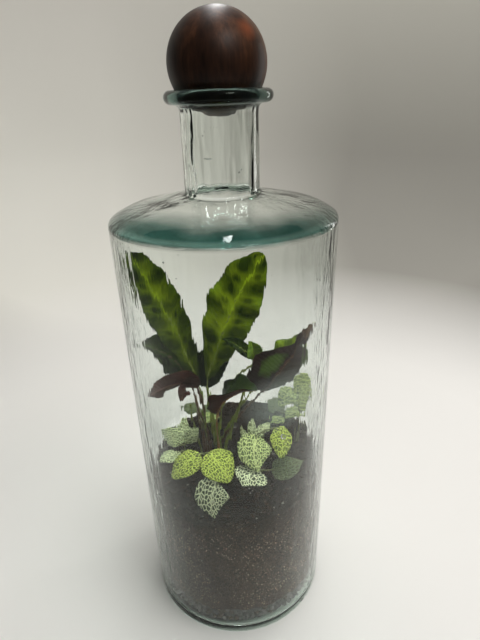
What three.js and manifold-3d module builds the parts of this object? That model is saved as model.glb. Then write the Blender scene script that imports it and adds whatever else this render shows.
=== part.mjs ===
// A tall recycled-glass bottle planted as a closed terrarium and stopped by a turned wooden ball.
// Millimetres, +Z up. The origin is the centre of the base, on the surface that the bottle stands on,
// and the side that is looked at most faces -Y.
import * as THREE from 'three';
import { mergeVertices } from 'three/addons/utils/BufferGeometryUtils.js';
import Module from 'manifold-3d';

const wasm = await Module();
wasm.setup();

// Bottle sizes
const bodyDiameter = 160;
const baseDiameter = 156;
const wall = 3.5;
const baseThickness = 6.5;
const innerCorner = 3;
const puntHeight = 2.5;
const puntRadius = 62;
const footInnerRadius = 66;
const heelRadius = 3;
const shoulderHeight = 346.5;
const shoulderSlope = THREE.MathUtils.degToRad(12.3);
const edgeRound = 4;
const edgeSlope = THREE.MathUtils.degToRad(35);
const innerEdgeRound = 3;
const domeRadius = 40;
const shoulderThickness = 4.5;
const neckDiameter = 51.4;
const neckWall = 4;
const neckFillet = 3;
const beadHeight = 424.2;
const beadRadius = 30.9;
const beadTube = 4.3;
const neckFlare = 1.2;
const flareStart = 8;
const flareEnd = 5.3;
const mouthSlope = 5;
const aroundBottle = 44;
const aroundBall = 26;

// Fits, fill heights and the ball
const clearance = 0.3;
const ballRadius = 31.4;
const gravelLevel = 27;
const soilLevel = 132;
const soilSlopeX = 0.09;
const soilSlopeY = 0.07;
const rootDepth = 12;
const collarRise = 4;
const holeRise = 6;
const holeSlack = 0.3;
const holeTaper = 0.8;

// Leaf thickness
const bladeThickness = 0.9;
const midribThickness = 1.5;
const smallBladeThickness = 0.8;
const smallMidribThickness = 1.1;
const stalkRadius = 1.3;
const stalkTipRadius = 0.8;
const sprigRadius = 1.1;
const sprigTipRadius = 0.8;
const leafletStalkRadius = 0.6;
const sliver = 0.06;

// Colours
const glassColour = 0xb4cdc4;
const woodColour = 0x2c1710;
const soilColour = 0x3f3630;
const gravelColour = 0x6a6a66;
const leafColour = 0x4c7a22;
const darkLeafColour = 0x1f3216;
const maroonColour = 0x4a2a2c;
const netLeafColour = 0x9dba5e;

const bottle = new THREE.Group();

// Closed meshes and solids
function solidFrom(geometry) {
  const bare = geometry.index ? geometry : geometry.clone();
  bare.deleteAttribute('normal');
  bare.deleteAttribute('uv');
  const merged = mergeVertices(bare, 1e-4);
  const corners = merged.index.array;
  const kept = [];
  for (let i = 0; i < corners.length; i += 3) {
    const [a, b, c] = [corners[i], corners[i + 1], corners[i + 2]];
    if (a !== b && b !== c && c !== a) kept.push(a, b, c);
  }
  return new wasm.Manifold(new wasm.Mesh({
    numProp: 3,
    vertProperties: new Float32Array(merged.attributes.position.array),
    triVerts: new Uint32Array(kept),
  }));
}

function geometryFrom(solid) {
  const mesh = solid.getMesh();
  const geometry = new THREE.BufferGeometry();
  geometry.setAttribute('position', new THREE.BufferAttribute(mesh.vertProperties, 3));
  geometry.setIndex(new THREE.BufferAttribute(mesh.triVerts, 1));
  geometry.computeVertexNormals();
  return geometry;
}

function fuse(solids) {
  return solids.reduce((whole, piece) => whole.add(piece)).simplify(sliver);
}

function addPiece(name, solid, colour, roughness, extra = {}) {
  const material = new THREE.MeshStandardMaterial({ color: colour, roughness, metalness: 0, ...extra });
  const mesh = new THREE.Mesh(geometryFrom(solid), material);
  mesh.name = name;
  bottle.add(mesh);
}

function arc(centreX, centreZ, radius, fromDegrees, toDegrees, steps) {
  const points = [];
  for (let i = 0; i <= steps; i += 1) {
    const angle = THREE.MathUtils.degToRad(fromDegrees + (toDegrees - fromDegrees) * i / steps);
    points.push([centreX + radius * Math.cos(angle), centreZ + radius * Math.sin(angle)]);
  }
  return points;
}

// A profile of [radius, height] pairs that starts and ends on the axis, spun into a solid
function spin(profile, segments) {
  const points = profile.map(([radius, height]) => new THREE.Vector2(radius, height));
  const geometry = new THREE.LatheGeometry(points, segments);
  geometry.rotateX(Math.PI / 2);
  return solidFrom(geometry);
}

// The inner face of the glass, as a radius at each height of the straight body
const bodyRadius = bodyDiameter / 2;
const baseRadius = baseDiameter / 2;
const neckRadius = neckDiameter / 2;

function innerRadius(height) {
  const share = THREE.MathUtils.clamp((height - heelRadius) / (shoulderHeight - heelRadius), 0, 1);
  return baseRadius - wall + (bodyRadius - baseRadius) * share;
}

// Bottle: foot, wall, round shoulder, low cone, neck and a rolled bead round the mouth
function bottleSolid() {
  const coneDegrees = 90 - THREE.MathUtils.radToDeg(shoulderSlope);
  const edgeDegrees = 90 - THREE.MathUtils.radToDeg(edgeSlope);
  const edgeCentre = bodyRadius - edgeRound;
  const domeCentre = edgeCentre - (domeRadius - edgeRound) * Math.sin(edgeSlope);
  const domeHeight = shoulderHeight - (domeRadius - edgeRound) * Math.cos(edgeSlope);
  const coneStartRadius = domeCentre + domeRadius * Math.sin(shoulderSlope);
  const coneStartHeight = domeHeight + domeRadius * Math.cos(shoulderSlope);
  const filletCentre = neckRadius + neckFillet;
  const filletFootRadius = filletCentre - neckFillet * Math.sin(shoulderSlope);
  const filletFootHeight = coneStartHeight + (coneStartRadius - filletFootRadius) * Math.tan(shoulderSlope);
  const filletHeight = filletFootHeight + neckFillet * Math.cos(shoulderSlope);
  const innerNeck = neckRadius - neckWall;
  const innerDome = domeRadius - shoulderThickness;
  const innerEdgeCentre = bodyRadius - wall - innerEdgeRound;
  const innerEdgeAngle = Math.acos((innerEdgeCentre - domeCentre) / (innerDome - innerEdgeRound));
  const innerEdgeHeight = domeHeight + (innerDome - innerEdgeRound) * Math.sin(innerEdgeAngle);
  const innerEdgeDegrees = THREE.MathUtils.radToDeg(innerEdgeAngle);
  const innerConeStart = domeCentre + innerDome * Math.sin(shoulderSlope);
  const innerConeHeight = domeHeight + innerDome * Math.cos(shoulderSlope);
  const innerNeckHeight = innerConeHeight + (innerConeStart - innerNeck) * Math.tan(shoulderSlope);
  const profile = [
    [0, puntHeight],
    [puntRadius, puntHeight * 0.6],
    [footInnerRadius, 0],
    [baseRadius - heelRadius, 0],
    ...arc(baseRadius - heelRadius, heelRadius, heelRadius, -60, 0, 2),
    ...arc(edgeCentre, shoulderHeight, edgeRound, 0, edgeDegrees, 3),
    ...arc(domeCentre, domeHeight, domeRadius, edgeDegrees, coneDegrees, 3).slice(1),
    ...arc(filletCentre, filletHeight, neckFillet, coneDegrees - 180, -180, 2),
    [neckRadius, beadHeight - flareStart],
    [neckRadius + neckFlare, beadHeight - flareEnd],
    ...arc(beadRadius, beadHeight, beadTube, -110, 200, 10),
    [innerNeck + neckFlare, beadHeight - flareEnd],
    [innerNeck, beadHeight - flareEnd - mouthSlope],
    [innerNeck, innerNeckHeight + neckFillet],
    [innerNeck + neckFillet, innerNeckHeight - neckFillet * Math.tan(shoulderSlope)],
    ...arc(domeCentre, domeHeight, innerDome, coneDegrees, innerEdgeDegrees, 3),
    ...arc(innerEdgeCentre, innerEdgeHeight, innerEdgeRound, innerEdgeDegrees, 0, 3).slice(1),
    ...arc(innerRadius(0) - innerCorner, baseThickness + innerCorner, innerCorner, 0, -90, 2),
    [0, baseThickness],
  ];
  return spin(profile, aroundBottle);
}

// Ball: turned from one piece, resting on the inside of the bead
function ballSolid() {
  const reach = ballRadius + beadTube + clearance;
  const centreHeight = beadHeight + Math.sqrt(reach * reach - beadRadius * beadRadius);
  const profile = arc(0, centreHeight, ballRadius, -90, 90, 14);
  profile[0][0] = 0;
  profile[profile.length - 1][0] = 0;
  return spin(profile, aroundBall);
}

// Ground: surfaces over the plan, as heights
function lumps(x, y, size, height) {
  const a = Math.sin(x / size + 1.3) * Math.cos(y / (size * 0.8) - 0.4);
  const b = Math.sin((x + y) / (size * 0.6) + 2.1) * 0.5;
  return height * (a + b);
}

function gravelTop(x, y) {
  return gravelLevel + lumps(x, y, 7, 1.4);
}

function soilTop(x, y) {
  return soilLevel + soilSlopeX * x + soilSlopeY * y + lumps(x, y, 11, 1.5);
}

// A filling of the bottle between two surfaces, kept clear of the glass
function filling(lower, upper) {
  const rings = [0, 0.28, 0.52, 0.76, 0.955, 1];
  const corners = [];
  const layer = (surface) => rings.map((share) => {
    const ring = [];
    for (let i = 0; i < aroundBottle; i += 1) {
      const angle = 2 * Math.PI * i / aroundBottle;
      const across = new THREE.Vector2(Math.sin(angle), Math.cos(angle));
      const wallPoint = across.clone().multiplyScalar(innerRadius(soilLevel) * share);
      const radius = share * (innerRadius(surface(wallPoint.x, wallPoint.y)) - clearance);
      const { x, y } = across.multiplyScalar(radius);
      ring.push(new THREE.Vector3(x, y, surface(x, y)));
    }
    return ring;
  });
  const quad = (a, b, c, d) => corners.push(a, b, c, a, c, d);
  const top = layer(upper);
  const bottom = layer(lower);
  for (let r = 0; r < rings.length - 1; r += 1) {
    for (let i = 0; i < aroundBottle; i += 1) {
      const j = (i + 1) % aroundBottle;
      quad(top[r][i], top[r][j], top[r + 1][j], top[r + 1][i]);
      quad(bottom[r][i], bottom[r + 1][i], bottom[r + 1][j], bottom[r][j]);
    }
  }
  const last = rings.length - 1;
  for (let i = 0; i < aroundBottle; i += 1) {
    const j = (i + 1) % aroundBottle;
    quad(bottom[last][i], top[last][i], top[last][j], bottom[last][j]);
  }
  const geometry = new THREE.BufferGeometry().setFromPoints(corners);
  return outward(solidFrom(geometry), geometry);
}

// A mesh whose faces all point in is turned inside out
function outward(solid, geometry) {
  if (solid.volume() > 0) return solid;
  const place = geometry.attributes.position;
  const turned = [];
  for (let i = 0; i < place.count; i += 3) {
    for (const k of [i, i + 2, i + 1]) turned.push(new THREE.Vector3().fromBufferAttribute(place, k));
  }
  return solidFrom(new THREE.BufferGeometry().setFromPoints(turned));
}

// A round stem along a curve, thinner towards its end
function stemSolid(curve, startRadius, endRadius, steps, sides = 5) {
  const frames = curve.computeFrenetFrames(steps, false);
  const rings = [];
  for (let i = 0; i <= steps; i += 1) {
    const centre = curve.getPointAt(i / steps);
    const radius = THREE.MathUtils.lerp(startRadius, endRadius, i / steps);
    const ring = [];
    for (let k = 0; k < sides; k += 1) {
      const angle = 2 * Math.PI * k / sides;
      ring.push(centre.clone()
        .addScaledVector(frames.normals[i], radius * Math.cos(angle))
        .addScaledVector(frames.binormals[i], radius * Math.sin(angle)));
    }
    rings.push(ring);
  }
  const corners = [];
  for (let i = 0; i < steps; i += 1) {
    for (let k = 0; k < sides; k += 1) {
      const n = (k + 1) % sides;
      corners.push(rings[i][k], rings[i][n], rings[i + 1][n]);
      corners.push(rings[i][k], rings[i + 1][n], rings[i + 1][k]);
    }
  }
  for (let k = 1; k < sides - 1; k += 1) {
    corners.push(rings[0][0], rings[0][k + 1], rings[0][k]);
    corners.push(rings[steps][0], rings[steps][k], rings[steps][k + 1]);
  }
  const geometry = new THREE.BufferGeometry().setFromPoints(corners);
  return outward(solidFrom(geometry), geometry);
}

// Half-width of a blade along its length, as a share of the widest
function roundedSine(u, lean, fullness) {
  const rise = Math.sin(Math.PI * Math.pow(u, lean));
  return Math.pow(Math.max(rise, 0), fullness);
}

const strapShape = (u) => 0.04 + 0.96 * roundedSine(u, 1.32, 0.6);
const lanceShape = (u) => 0.05 + 0.95 * roundedSine(u, 0.9, 0.75);
const ovalShape = (u) => 0.06 + 0.94 * roundedSine(u, 0.8, 0.62);

// An oval body that ends in a long rolled beak
function beakedShape(u) {
  const body = u < 0.72 ? roundedSine(u / 0.74, 0.85, 0.5) : 0;
  const beak = 0.22 * Math.sqrt(Math.max(1 - u, 0.02)) * 2;
  return Math.max(body, u < 0.3 ? 0.05 : Math.min(beak, 0.24));
}

// A blade round its midrib curve: both faces share one grid, split alike
function bladeSolid(leaf) {
  const { spine, width, face, shape, rows, columns, thick, rib } = leaf;
  const { fold = 0, dome = 0, wave = 0, waves = 4, phase = 0, turn = 0 } = leaf;
  const faceUp = new THREE.Vector3(...face).normalize();
  const middle = (u, v) => {
    const centre = spine.getPoint(u);
    const along = spine.getTangent(u);
    const upHint = faceUp.clone().applyAxisAngle(along, turn * (u - 0.5));
    const across = along.clone().cross(upHint).normalize();
    const up = across.clone().cross(along).normalize();
    const ripple = Math.sin(2 * Math.PI * waves * u + phase + (v > 0 ? 0 : 2));
    const half = width / 2 * shape(u) * (1 + 0.05 * Math.abs(v) * ripple);
    const lift = half * (fold * Math.abs(v) - dome * v * v) + wave * v * v * ripple * shape(u);
    return centre.addScaledVector(across, half * v).addScaledVector(up, lift);
  };
  const step = 1e-3;
  const normalAt = (u, v) => {
    const a = Math.min(u + step, 1);
    const b = Math.max(u - step, 0);
    const du = middle(a, v).sub(middle(b, v));
    const side = v === 0 ? [step, -step] : [v + step, v - step];
    const dv = middle(u, side[0]).sub(middle(u, side[1]));
    return dv.cross(du).normalize();
  };
  const faces = [[], []];
  for (let i = 0; i <= rows; i += 1) {
    for (let k = 0; k <= columns; k += 1) {
      const u = i / rows;
      const v = 2 * k / columns - 1;
      const centre = middle(u, v);
      const normal = normalAt(u, v);
      const below = v === 0 ? rib * (1 - 0.6 * u) + thick * 0.6 * u - thick / 2 : thick / 2;
      faces[0].push(centre.clone().addScaledVector(normal, thick / 2));
      faces[1].push(centre.clone().addScaledVector(normal, -below));
    }
  }
  const corners = [];
  const at = (side, i, k) => faces[side][i * (columns + 1) + k];
  const triangle = (a, b, c) => corners.push(a, b, c);
  for (let i = 0; i < rows; i += 1) {
    for (let k = 0; k < columns; k += 1) {
      const leftHalf = k < columns / 2;
      for (const side of [0, 1]) {
        const [a, b, c, d] = [at(side, i, k), at(side, i, k + 1), at(side, i + 1, k + 1), at(side, i + 1, k)];
        const pair = leftHalf ? [[a, b, d], [b, c, d]] : [[a, b, c], [a, c, d]];
        for (const [p, q, r] of pair) {
          if (side === 0) triangle(p, q, r);
          else triangle(p, r, q);
        }
      }
    }
  }
  const rim = [];
  for (let k = 0; k < columns; k += 1) rim.push([0, k]);
  for (let i = 0; i < rows; i += 1) rim.push([i, columns]);
  for (let k = columns; k > 0; k -= 1) rim.push([rows, k]);
  for (let i = rows; i > 0; i -= 1) rim.push([i, 0]);
  for (let n = 0; n < rim.length; n += 1) {
    const [i, k] = rim[n];
    const [j, m] = rim[(n + 1) % rim.length];
    triangle(at(0, i, k), at(1, i, k), at(1, j, m));
    triangle(at(0, i, k), at(1, j, m), at(0, j, m));
  }
  const geometry = new THREE.BufferGeometry().setFromPoints(corners);
  return outward(solidFrom(geometry), geometry);
}

const vector = (place) => new THREE.Vector3(...place);
const stemHoles = [];

// A midrib that passes through its bend half-way along
function spineThrough(leaf) {
  const [base, bend, tip] = [leaf.base, leaf.bend, leaf.tip].map(vector);
  const control = bend.clone().multiplyScalar(2).addScaledVector(base, -0.5).addScaledVector(tip, -0.5);
  return new THREE.QuadraticBezierCurve3(base, control, tip);
}

// A stem that stands in the soil at a root, with the hole that it stands in
function rootedStem(root, way, startRadius, endRadius, steps) {
  const ground = soilTop(...root);
  const foot = new THREE.Vector3(root[0], root[1], ground - rootDepth);
  const collar = new THREE.Vector3(root[0], root[1], ground + collarRise);
  const rest = way.map(vector);
  const curve = new THREE.CatmullRomCurve3([foot, collar, ...rest], false, 'centripetal');
  const holeFoot = foot.clone().setZ(foot.z - clearance);
  const holeTop = collar.clone().setZ(ground + holeRise);
  const hole = new THREE.LineCurve3(holeFoot, holeTop);
  const holeRadius = startRadius + clearance + holeSlack;
  stemHoles.push(stemSolid(hole, holeRadius, holeRadius + holeTaper, 1, 6));
  return stemSolid(curve, startRadius, endRadius, steps);
}

// Rattlesnake-plant leaves: each is a stalk from the crown and a long waved blade
const tallLeaves = [
  {
    name: 'leaf_tall_left', colour: leafColour, shape: strapShape, root: [-21, 5.5],
    way: [[-25, 5.5, 168]],
    base: [-27, 6, 205], bend: [-48.5, 7, 268], tip: [-70.5, -4, 325],
    width: 32, face: [0.35, -0.85, 0.3], fold: 0.18, wave: 2.2, waves: 5.5, phase: 0.4, turn: 0.3, rows: 22,
  },
  {
    name: 'leaf_tall_centre', colour: leafColour, shape: strapShape, root: [-16.5, 11],
    way: [[-18.4, 12, 176]],
    base: [-20.5, 13, 203.5], bend: [1, 18, 262], tip: [29, 14, 314],
    width: 43, face: [-0.25, -0.9, 0.3], fold: 0.2, wave: 2.3, waves: 4.5, phase: 2, turn: -0.4, rows: 20,
  },
  {
    name: 'leaf_low_left', colour: darkLeafColour, shape: lanceShape, root: [-22.5, 9.5],
    base: [-34.4, 14, 197], bend: [-53, 13.5, 228], tip: [-70, -6, 249],
    width: 30, face: [0.35, -0.5, 0.75], fold: 0.25, wave: 1.5, waves: 3, phase: 1, rows: 12,
  },
  {
    name: 'leaf_maroon_left', colour: maroonColour, shape: lanceShape, root: [-20, -0.5],
    base: [-27.5, -6, 209], bend: [-41.5, -22, 226.5], tip: [-59.5, -37, 226.5],
    width: 29, face: [0.2, 0.85, 0.15], fold: 0.15, wave: 1.4, waves: 3, phase: 0, rows: 12,
  },
  {
    name: 'leaf_hanging_left', colour: maroonColour, shape: lanceShape, root: [-25, 1.5],
    base: [-31, -13, 214], bend: [-35.5, -18, 216], tip: [-40, -22, 207],
    width: 13, face: [0.2, 0.7, 0.4], fold: 0.2, wave: 0.6, waves: 2, phase: 0, rows: 7,
  },
  {
    name: 'leaf_big_right', colour: maroonColour, shape: beakedShape, root: [-12, 7.5],
    base: [26, -6, 203.6], bend: [43.5, -17, 236], tip: [62.5, -23, 273],
    width: 46, face: [-0.1, 0.85, 0.45], fold: 0.25, wave: 1.8, waves: 2.5, phase: 0.5, rows: 18,
  },
  {
    name: 'leaf_behind_right', colour: leafColour, shape: lanceShape, root: [-11, 13.5],
    base: [26.4, 13, 203.6], bend: [47.5, 21, 219], tip: [65, 22, 239],
    width: 30, face: [-0.4, -0.5, 0.75], fold: 0.2, wave: 1.6, waves: 3, phase: 1.4, rows: 12,
  },
  {
    name: 'leaf_narrow_centre', colour: darkLeafColour, shape: lanceShape, root: [-12.5, 3],
    way: [[-9, 2.5, 180], [4, 2, 212]],
    base: [20.8, 2, 228.3], bend: [8.4, 1.5, 241], tip: [-5, 0, 250],
    width: 11, face: [0.2, -0.6, 0.75], fold: 0.4, wave: 0.6, waves: 2, phase: 0, rows: 7,
  },
  {
    name: 'leaf_young_right', colour: leafColour, shape: lanceShape, root: [-7.5, 2],
    way: [[8, -2, 192]],
    base: [19.4, -4, 233], bend: [18.5, -7, 243], tip: [15.8, -8, 251],
    width: 12, face: [0.2, -0.9, 0.3], fold: 0.8, wave: 0.4, waves: 2, phase: 0, rows: 7,
  },
  {
    name: 'leaf_dark_centre', colour: darkLeafColour, shape: lanceShape, root: [-19, 16],
    base: [-22.5, 24, 188.6], bend: [-18.5, 29, 211], tip: [-10.5, 35, 233],
    width: 29, face: [0, -0.85, 0.5], fold: 0.2, wave: 1, waves: 2, phase: 0, rows: 8,
  },
  {
    name: 'leaf_centre_right', colour: leafColour, shape: lanceShape, root: [-14, -2.5],
    base: [-13, -8.5, 184], bend: [0.5, -18, 208], tip: [21.5, -26, 217.5],
    width: 29, face: [-0.2, 0.1, 0.95], fold: 0.7, wave: 1.5, waves: 2.5, phase: 1, rows: 12,
  },
];

for (const leaf of tallLeaves) {
  const spine = spineThrough(leaf);
  const blade = bladeSolid({
    ...leaf, spine, columns: leaf.width > 35 ? 6 : 4, thick: bladeThickness, rib: midribThickness,
  });
  const sunk = spine.getPoint(0.07).toArray();
  const way = leaf.way ?? [];
  const stalk = rootedStem(leaf.root, [...way, leaf.base, sunk], stalkRadius, stalkTipRadius, 8);
  addPiece(leaf.name, fuse([blade, stalk]), leaf.colour, 0.4);
}

// A rolled spear of a new leaf
addPiece('shoot_left', rootedStem([-30, 5], [[-34, -2, 165], [-35, -8, 194]], 1.7, 0.6, 8), leafColour, 0.5);

// Nerve-plant stems: each carries small oval leaves on short stalks
const netSprigs = [
  {
    name: 'fittonia_front_left', root: [-17, -30], way: [[-20, -37, 160], [-23, -43, 172]],
    leaves: [
      {
        from: 1, base: [-26, -46, 174.5], bend: [-36, -53, 171],
        tip: [-46, -57, 161.6], width: 20, face: [-0.2, -0.5, 0.8],
      },
      {
        from: 1, base: [-19, -47, 176], bend: [-10, -57, 173],
        tip: [-2.4, -63, 161], width: 27, face: [0.2, -0.5, 0.8],
      },
      {
        from: 0.75, base: [-17.5, -60, 162], bend: [-15.7, -68, 150.5],
        tip: [-15.1, -71, 133], width: 26, face: [0, -0.95, 0.3],
      },
    ],
  },
  {
    name: 'fittonia_left', root: [-38, -6], way: [[-42, -8, 145], [-44, -9, 152]],
    leaves: [
      {
        from: 1, base: [-46, -10, 154], bend: [-53, -8, 162],
        tip: [-60, -6, 168], width: 16, face: [-0.2, -0.7, 0.6],
      },
      {
        from: 1, base: [-41, -11, 155.5], bend: [-35, -13, 166],
        tip: [-28.5, -14, 174], width: 12, face: [0.2, -0.8, 0.5],
      },
      {
        from: 1, base: [-44, -6, 154], bend: [-45, 3, 160],
        tip: [-43, 11, 167], width: 14, face: [0, -0.4, 0.9],
      },
      {
        from: 0.7, base: [-46, -14, 149], bend: [-54, -22, 152.5],
        tip: [-61.3, -27, 151], width: 15, face: [-0.2, -0.3, 0.9],
      },
    ],
  },
  {
    name: 'fittonia_front_right', root: [22, -22], way: [[23, -28, 165], [26, -32, 184]],
    leaves: [
      {
        from: 1, base: [19, -38, 184], bend: [16.4, -51, 178.5],
        tip: [19, -60, 166.7], width: 26, face: [0, -0.7, 0.7],
      },
      {
        from: 1, base: [34, -35, 188], bend: [37.7, -44, 183.3],
        tip: [36, -51, 172], width: 18, face: [0.2, -0.8, 0.6],
      },
    ],
  },
  {
    name: 'fittonia_low_right', root: [22, -36], way: [[22, -40, 148], [23, -43, 153]],
    leaves: [
      {
        from: 1, base: [18.5, -50, 161], bend: [12, -61, 165],
        tip: [7.3, -68, 161], width: 27, face: [-0.1, -0.4, 0.9],
      },
      {
        from: 1, base: [30, -44, 154], bend: [42, -46, 158.5],
        tip: [54, -44.5, 163], width: 18, face: [0.1, -0.6, 0.8],
      },
    ],
  },
  {
    name: 'fittonia_tall_right', root: [58, 8], way: [[59, 6, 160], [57.5, 4.5, 190], [56.5, 4.5, 207]],
    leaves: [
      {
        from: 1, base: [57.5, 2.5, 213], bend: [60, -2, 199],
        tip: [57.5, -8, 181], width: 16, face: [0.1, -0.9, 0.35],
      },
      {
        from: 0.66, base: [52, 1, 199.5], bend: [46.5, -4, 196],
        tip: [40, -8, 188], width: 16, face: [-0.1, -0.7, 0.7],
      },
      {
        from: 0.66, base: [59.5, 8, 193], bend: [62, 13, 196],
        tip: [61, 21, 192], width: 13, face: [0.2, 0.2, 0.95],
      },
      {
        from: 0.45, base: [60, 13, 172], bend: [59, 22, 176],
        tip: [54, 30, 174], width: 14, face: [0, 0.4, 0.9],
      },
    ],
  },
  {
    name: 'fittonia_centre', root: [14, -6], way: [[14, -8, 146], [14.5, -8, 156]],
    leaves: [
      {
        from: 1, base: [16, -9, 160], bend: [16.5, -6, 167],
        tip: [16.8, -3, 174], width: 7, face: [0, -0.9, 0.4],
      },
      {
        from: 0.9, base: [11, -10, 158], bend: [8, -9.5, 165],
        tip: [6.3, -8, 171], width: 6, face: [-0.2, -0.9, 0.4],
      },
      {
        from: 0.9, base: [19, -7, 157], bend: [26, -4, 163],
        tip: [32, 1, 166], width: 9, face: [0.2, -0.8, 0.6],
      },
    ],
  },
  {
    name: 'fittonia_back_right', root: [44, 34], way: [[45, 34, 146], [46, 34, 151]],
    leaves: [
      {
        from: 1, base: [43, 36, 152.5], bend: [37, 41, 157],
        tip: [30, 46, 157], width: 17, face: [0, -0.2, 0.95],
      },
      {
        from: 1, base: [50, 33, 152.5], bend: [57, 29, 156],
        tip: [65, 25, 153], width: 17, face: [0, -0.2, 0.95],
      },
      {
        from: 0.8, base: [44, 30, 150], bend: [40, 22, 154],
        tip: [34, 15, 154], width: 15, face: [0, -0.1, 0.98],
      },
      {
        from: 0.8, base: [47, 39, 150], bend: [45, 48, 154],
        tip: [40, 57, 153], width: 16, face: [0, 0.2, 0.95],
      },
    ],
  },
  {
    name: 'fittonia_back_left', root: [-30, 36], way: [[-31, 37, 142], [-33, 38, 149]],
    leaves: [
      {
        from: 1, base: [-36, 40, 151], bend: [-44, 46, 155],
        tip: [-52, 49, 151], width: 18, face: [-0.1, 0.2, 0.95],
      },
      {
        from: 1, base: [-30, 35, 151], bend: [-23, 30.5, 153],
        tip: [-14, 29.5, 151], width: 16, face: [0.1, -0.2, 0.95],
      },
      {
        from: 0.8, base: [-29, 42, 147], bend: [-22, 50, 150],
        tip: [-15, 58, 146], width: 18, face: [0.1, 0.3, 0.95],
      },
    ],
  },
];

for (const sprig of netSprigs) {
  const stem = rootedStem(sprig.root, sprig.way, sprigRadius, sprigTipRadius, 5);
  const start = new THREE.Vector3(sprig.root[0], sprig.root[1], soilTop(...sprig.root) + collarRise);
  const path = new THREE.CatmullRomCurve3([start, ...sprig.way.map(vector)], false, 'centripetal');
  const pieces = [stem];
  for (const leaf of sprig.leaves) {
    const spine = spineThrough(leaf);
    pieces.push(bladeSolid({
      ...leaf, spine, shape: ovalShape, rows: 5, columns: 4, dome: 0.16, wave: 0.3, waves: 2,
      thick: smallBladeThickness, rib: smallMidribThickness,
    }));
    const joint = path.getPoint(leaf.from);
    const stalk = new THREE.LineCurve3(joint, spine.getPoint(0.12));
    pieces.push(stemSolid(stalk, sprigTipRadius, leafletStalkRadius, 1, 4));
  }
  addPiece(sprig.name, fuse(pieces), netLeafColour, 0.5);
}

// Ground layers, with the holes that the stems stand in
const gravelBottom = (x, y) => {
  const nearWall = Math.hypot(x, y) > innerRadius(0) - innerCorner;
  return baseThickness + clearance + (nearWall ? innerCorner : 0);
};
const gravelSolid = filling(gravelBottom, gravelTop);
const soilBody = filling((x, y) => gravelTop(x, y) + clearance, soilTop);
const soilSolid = stemHoles.reduce((ground, hole) => ground.subtract(hole), soilBody);

addPiece('gravel', gravelSolid.simplify(sliver), gravelColour, 0.95);
addPiece('soil', soilSolid, soilColour, 1);
addPiece('bottle', bottleSolid(), glassColour, 0.05, { transparent: true, opacity: 0.35 });
addPiece('ball_stopper', ballSolid(), woodColour, 0.45);

export default bottle;
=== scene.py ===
import math
import random

import bpy
from mathutils import Euler, Matrix, Vector, noise


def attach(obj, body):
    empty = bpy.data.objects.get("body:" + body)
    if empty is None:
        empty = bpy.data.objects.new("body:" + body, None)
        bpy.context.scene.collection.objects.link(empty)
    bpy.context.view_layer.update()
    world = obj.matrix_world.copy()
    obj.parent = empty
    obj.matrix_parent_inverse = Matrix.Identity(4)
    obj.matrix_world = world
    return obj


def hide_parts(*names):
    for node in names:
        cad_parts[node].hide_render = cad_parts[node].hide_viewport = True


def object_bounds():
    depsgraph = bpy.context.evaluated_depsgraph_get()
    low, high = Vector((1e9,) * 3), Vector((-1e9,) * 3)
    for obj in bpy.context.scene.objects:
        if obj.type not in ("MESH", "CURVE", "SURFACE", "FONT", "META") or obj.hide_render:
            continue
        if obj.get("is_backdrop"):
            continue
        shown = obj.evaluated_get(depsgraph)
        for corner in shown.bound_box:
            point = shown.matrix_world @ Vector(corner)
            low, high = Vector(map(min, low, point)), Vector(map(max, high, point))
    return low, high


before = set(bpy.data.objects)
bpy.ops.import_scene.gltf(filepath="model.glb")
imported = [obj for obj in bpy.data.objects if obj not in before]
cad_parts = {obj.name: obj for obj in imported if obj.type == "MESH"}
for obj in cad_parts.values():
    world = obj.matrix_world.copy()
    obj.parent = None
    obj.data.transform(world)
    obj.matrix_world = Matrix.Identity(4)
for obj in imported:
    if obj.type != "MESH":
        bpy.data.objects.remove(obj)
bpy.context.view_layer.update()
mm = 0.001


# The bottle is blown from recycled glass into a mould, with a thick base and shoulder and a mouth that is
# rolled into a bead by hand. It is one closed wall of glass: blue-green where the glass is deep, nearly clear
# through the wall, and slightly rippled inside, where no mould touched it.
body_radius = 80 * mm
base_radius = 78 * mm
glass_wall = 3.5 * mm
base_thickness = 6.5 * mm
inner_corner = 3 * mm
punt_height = 2.5 * mm
punt_radius = 62 * mm
punt_edge = 1.2 * mm
foot_inner_radius = 66 * mm
heel_radius = 3 * mm
shoulder_foot = 343 * mm
shoulder_height = 346.5 * mm
shoulder_slope = math.radians(12.3)
edge_round = 4 * mm
edge_slope = math.radians(35)
inner_edge_round = 3 * mm
dome_radius = 40 * mm
shoulder_thickness = 4.5 * mm
shoulder_wave = 16 * mm
shoulder_streak = (4 * mm, 11 * mm, 11 * mm)
wave_depth = 0.3 * mm
streak_depth = 0.045 * mm
smooth_radius = 5 * mm
smooth_foot = 12 * mm
neck_foot = 366 * mm
neck_radius = 25.7 * mm
neck_wall = 4 * mm
neck_fillet = 3 * mm
flare_start = 8 * mm
inner_flare_start = 10 * mm
flare_middle = (0.5 * mm, 6.4 * mm)
flare_end = (1.4 * mm, 5.3 * mm)
bead_height = 424.2 * mm
bead_radius = 30.9 * mm
bead_tube = 4.3 * mm
body_rows = 90
glass_sides = 224
glass_absorption = (0.55, 0.72, 0.62)
glass_density = 20.0
clear_glass = (0.975, 0.99, 0.98)
deep_glass = (0.045, 0.15, 0.13)
seed_count = 46
# In millimetres
seed_heights = (30, 325)
neck_seed_heights = (378, 405)
seed_sizes = (0.2, 0.55)
seed_stretch = (1, 1.6)


def arc(centre_radius, centre_height, radius, start, end, steps):
    """Points of a circle's arc as (radius, height), with angles in degrees."""
    points = []
    for i in range(steps + 1):
        angle = math.radians(start + (end - start) * i / steps)
        points.append((centre_radius + radius * math.cos(angle), centre_height + radius * math.sin(angle)))
    return points


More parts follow.
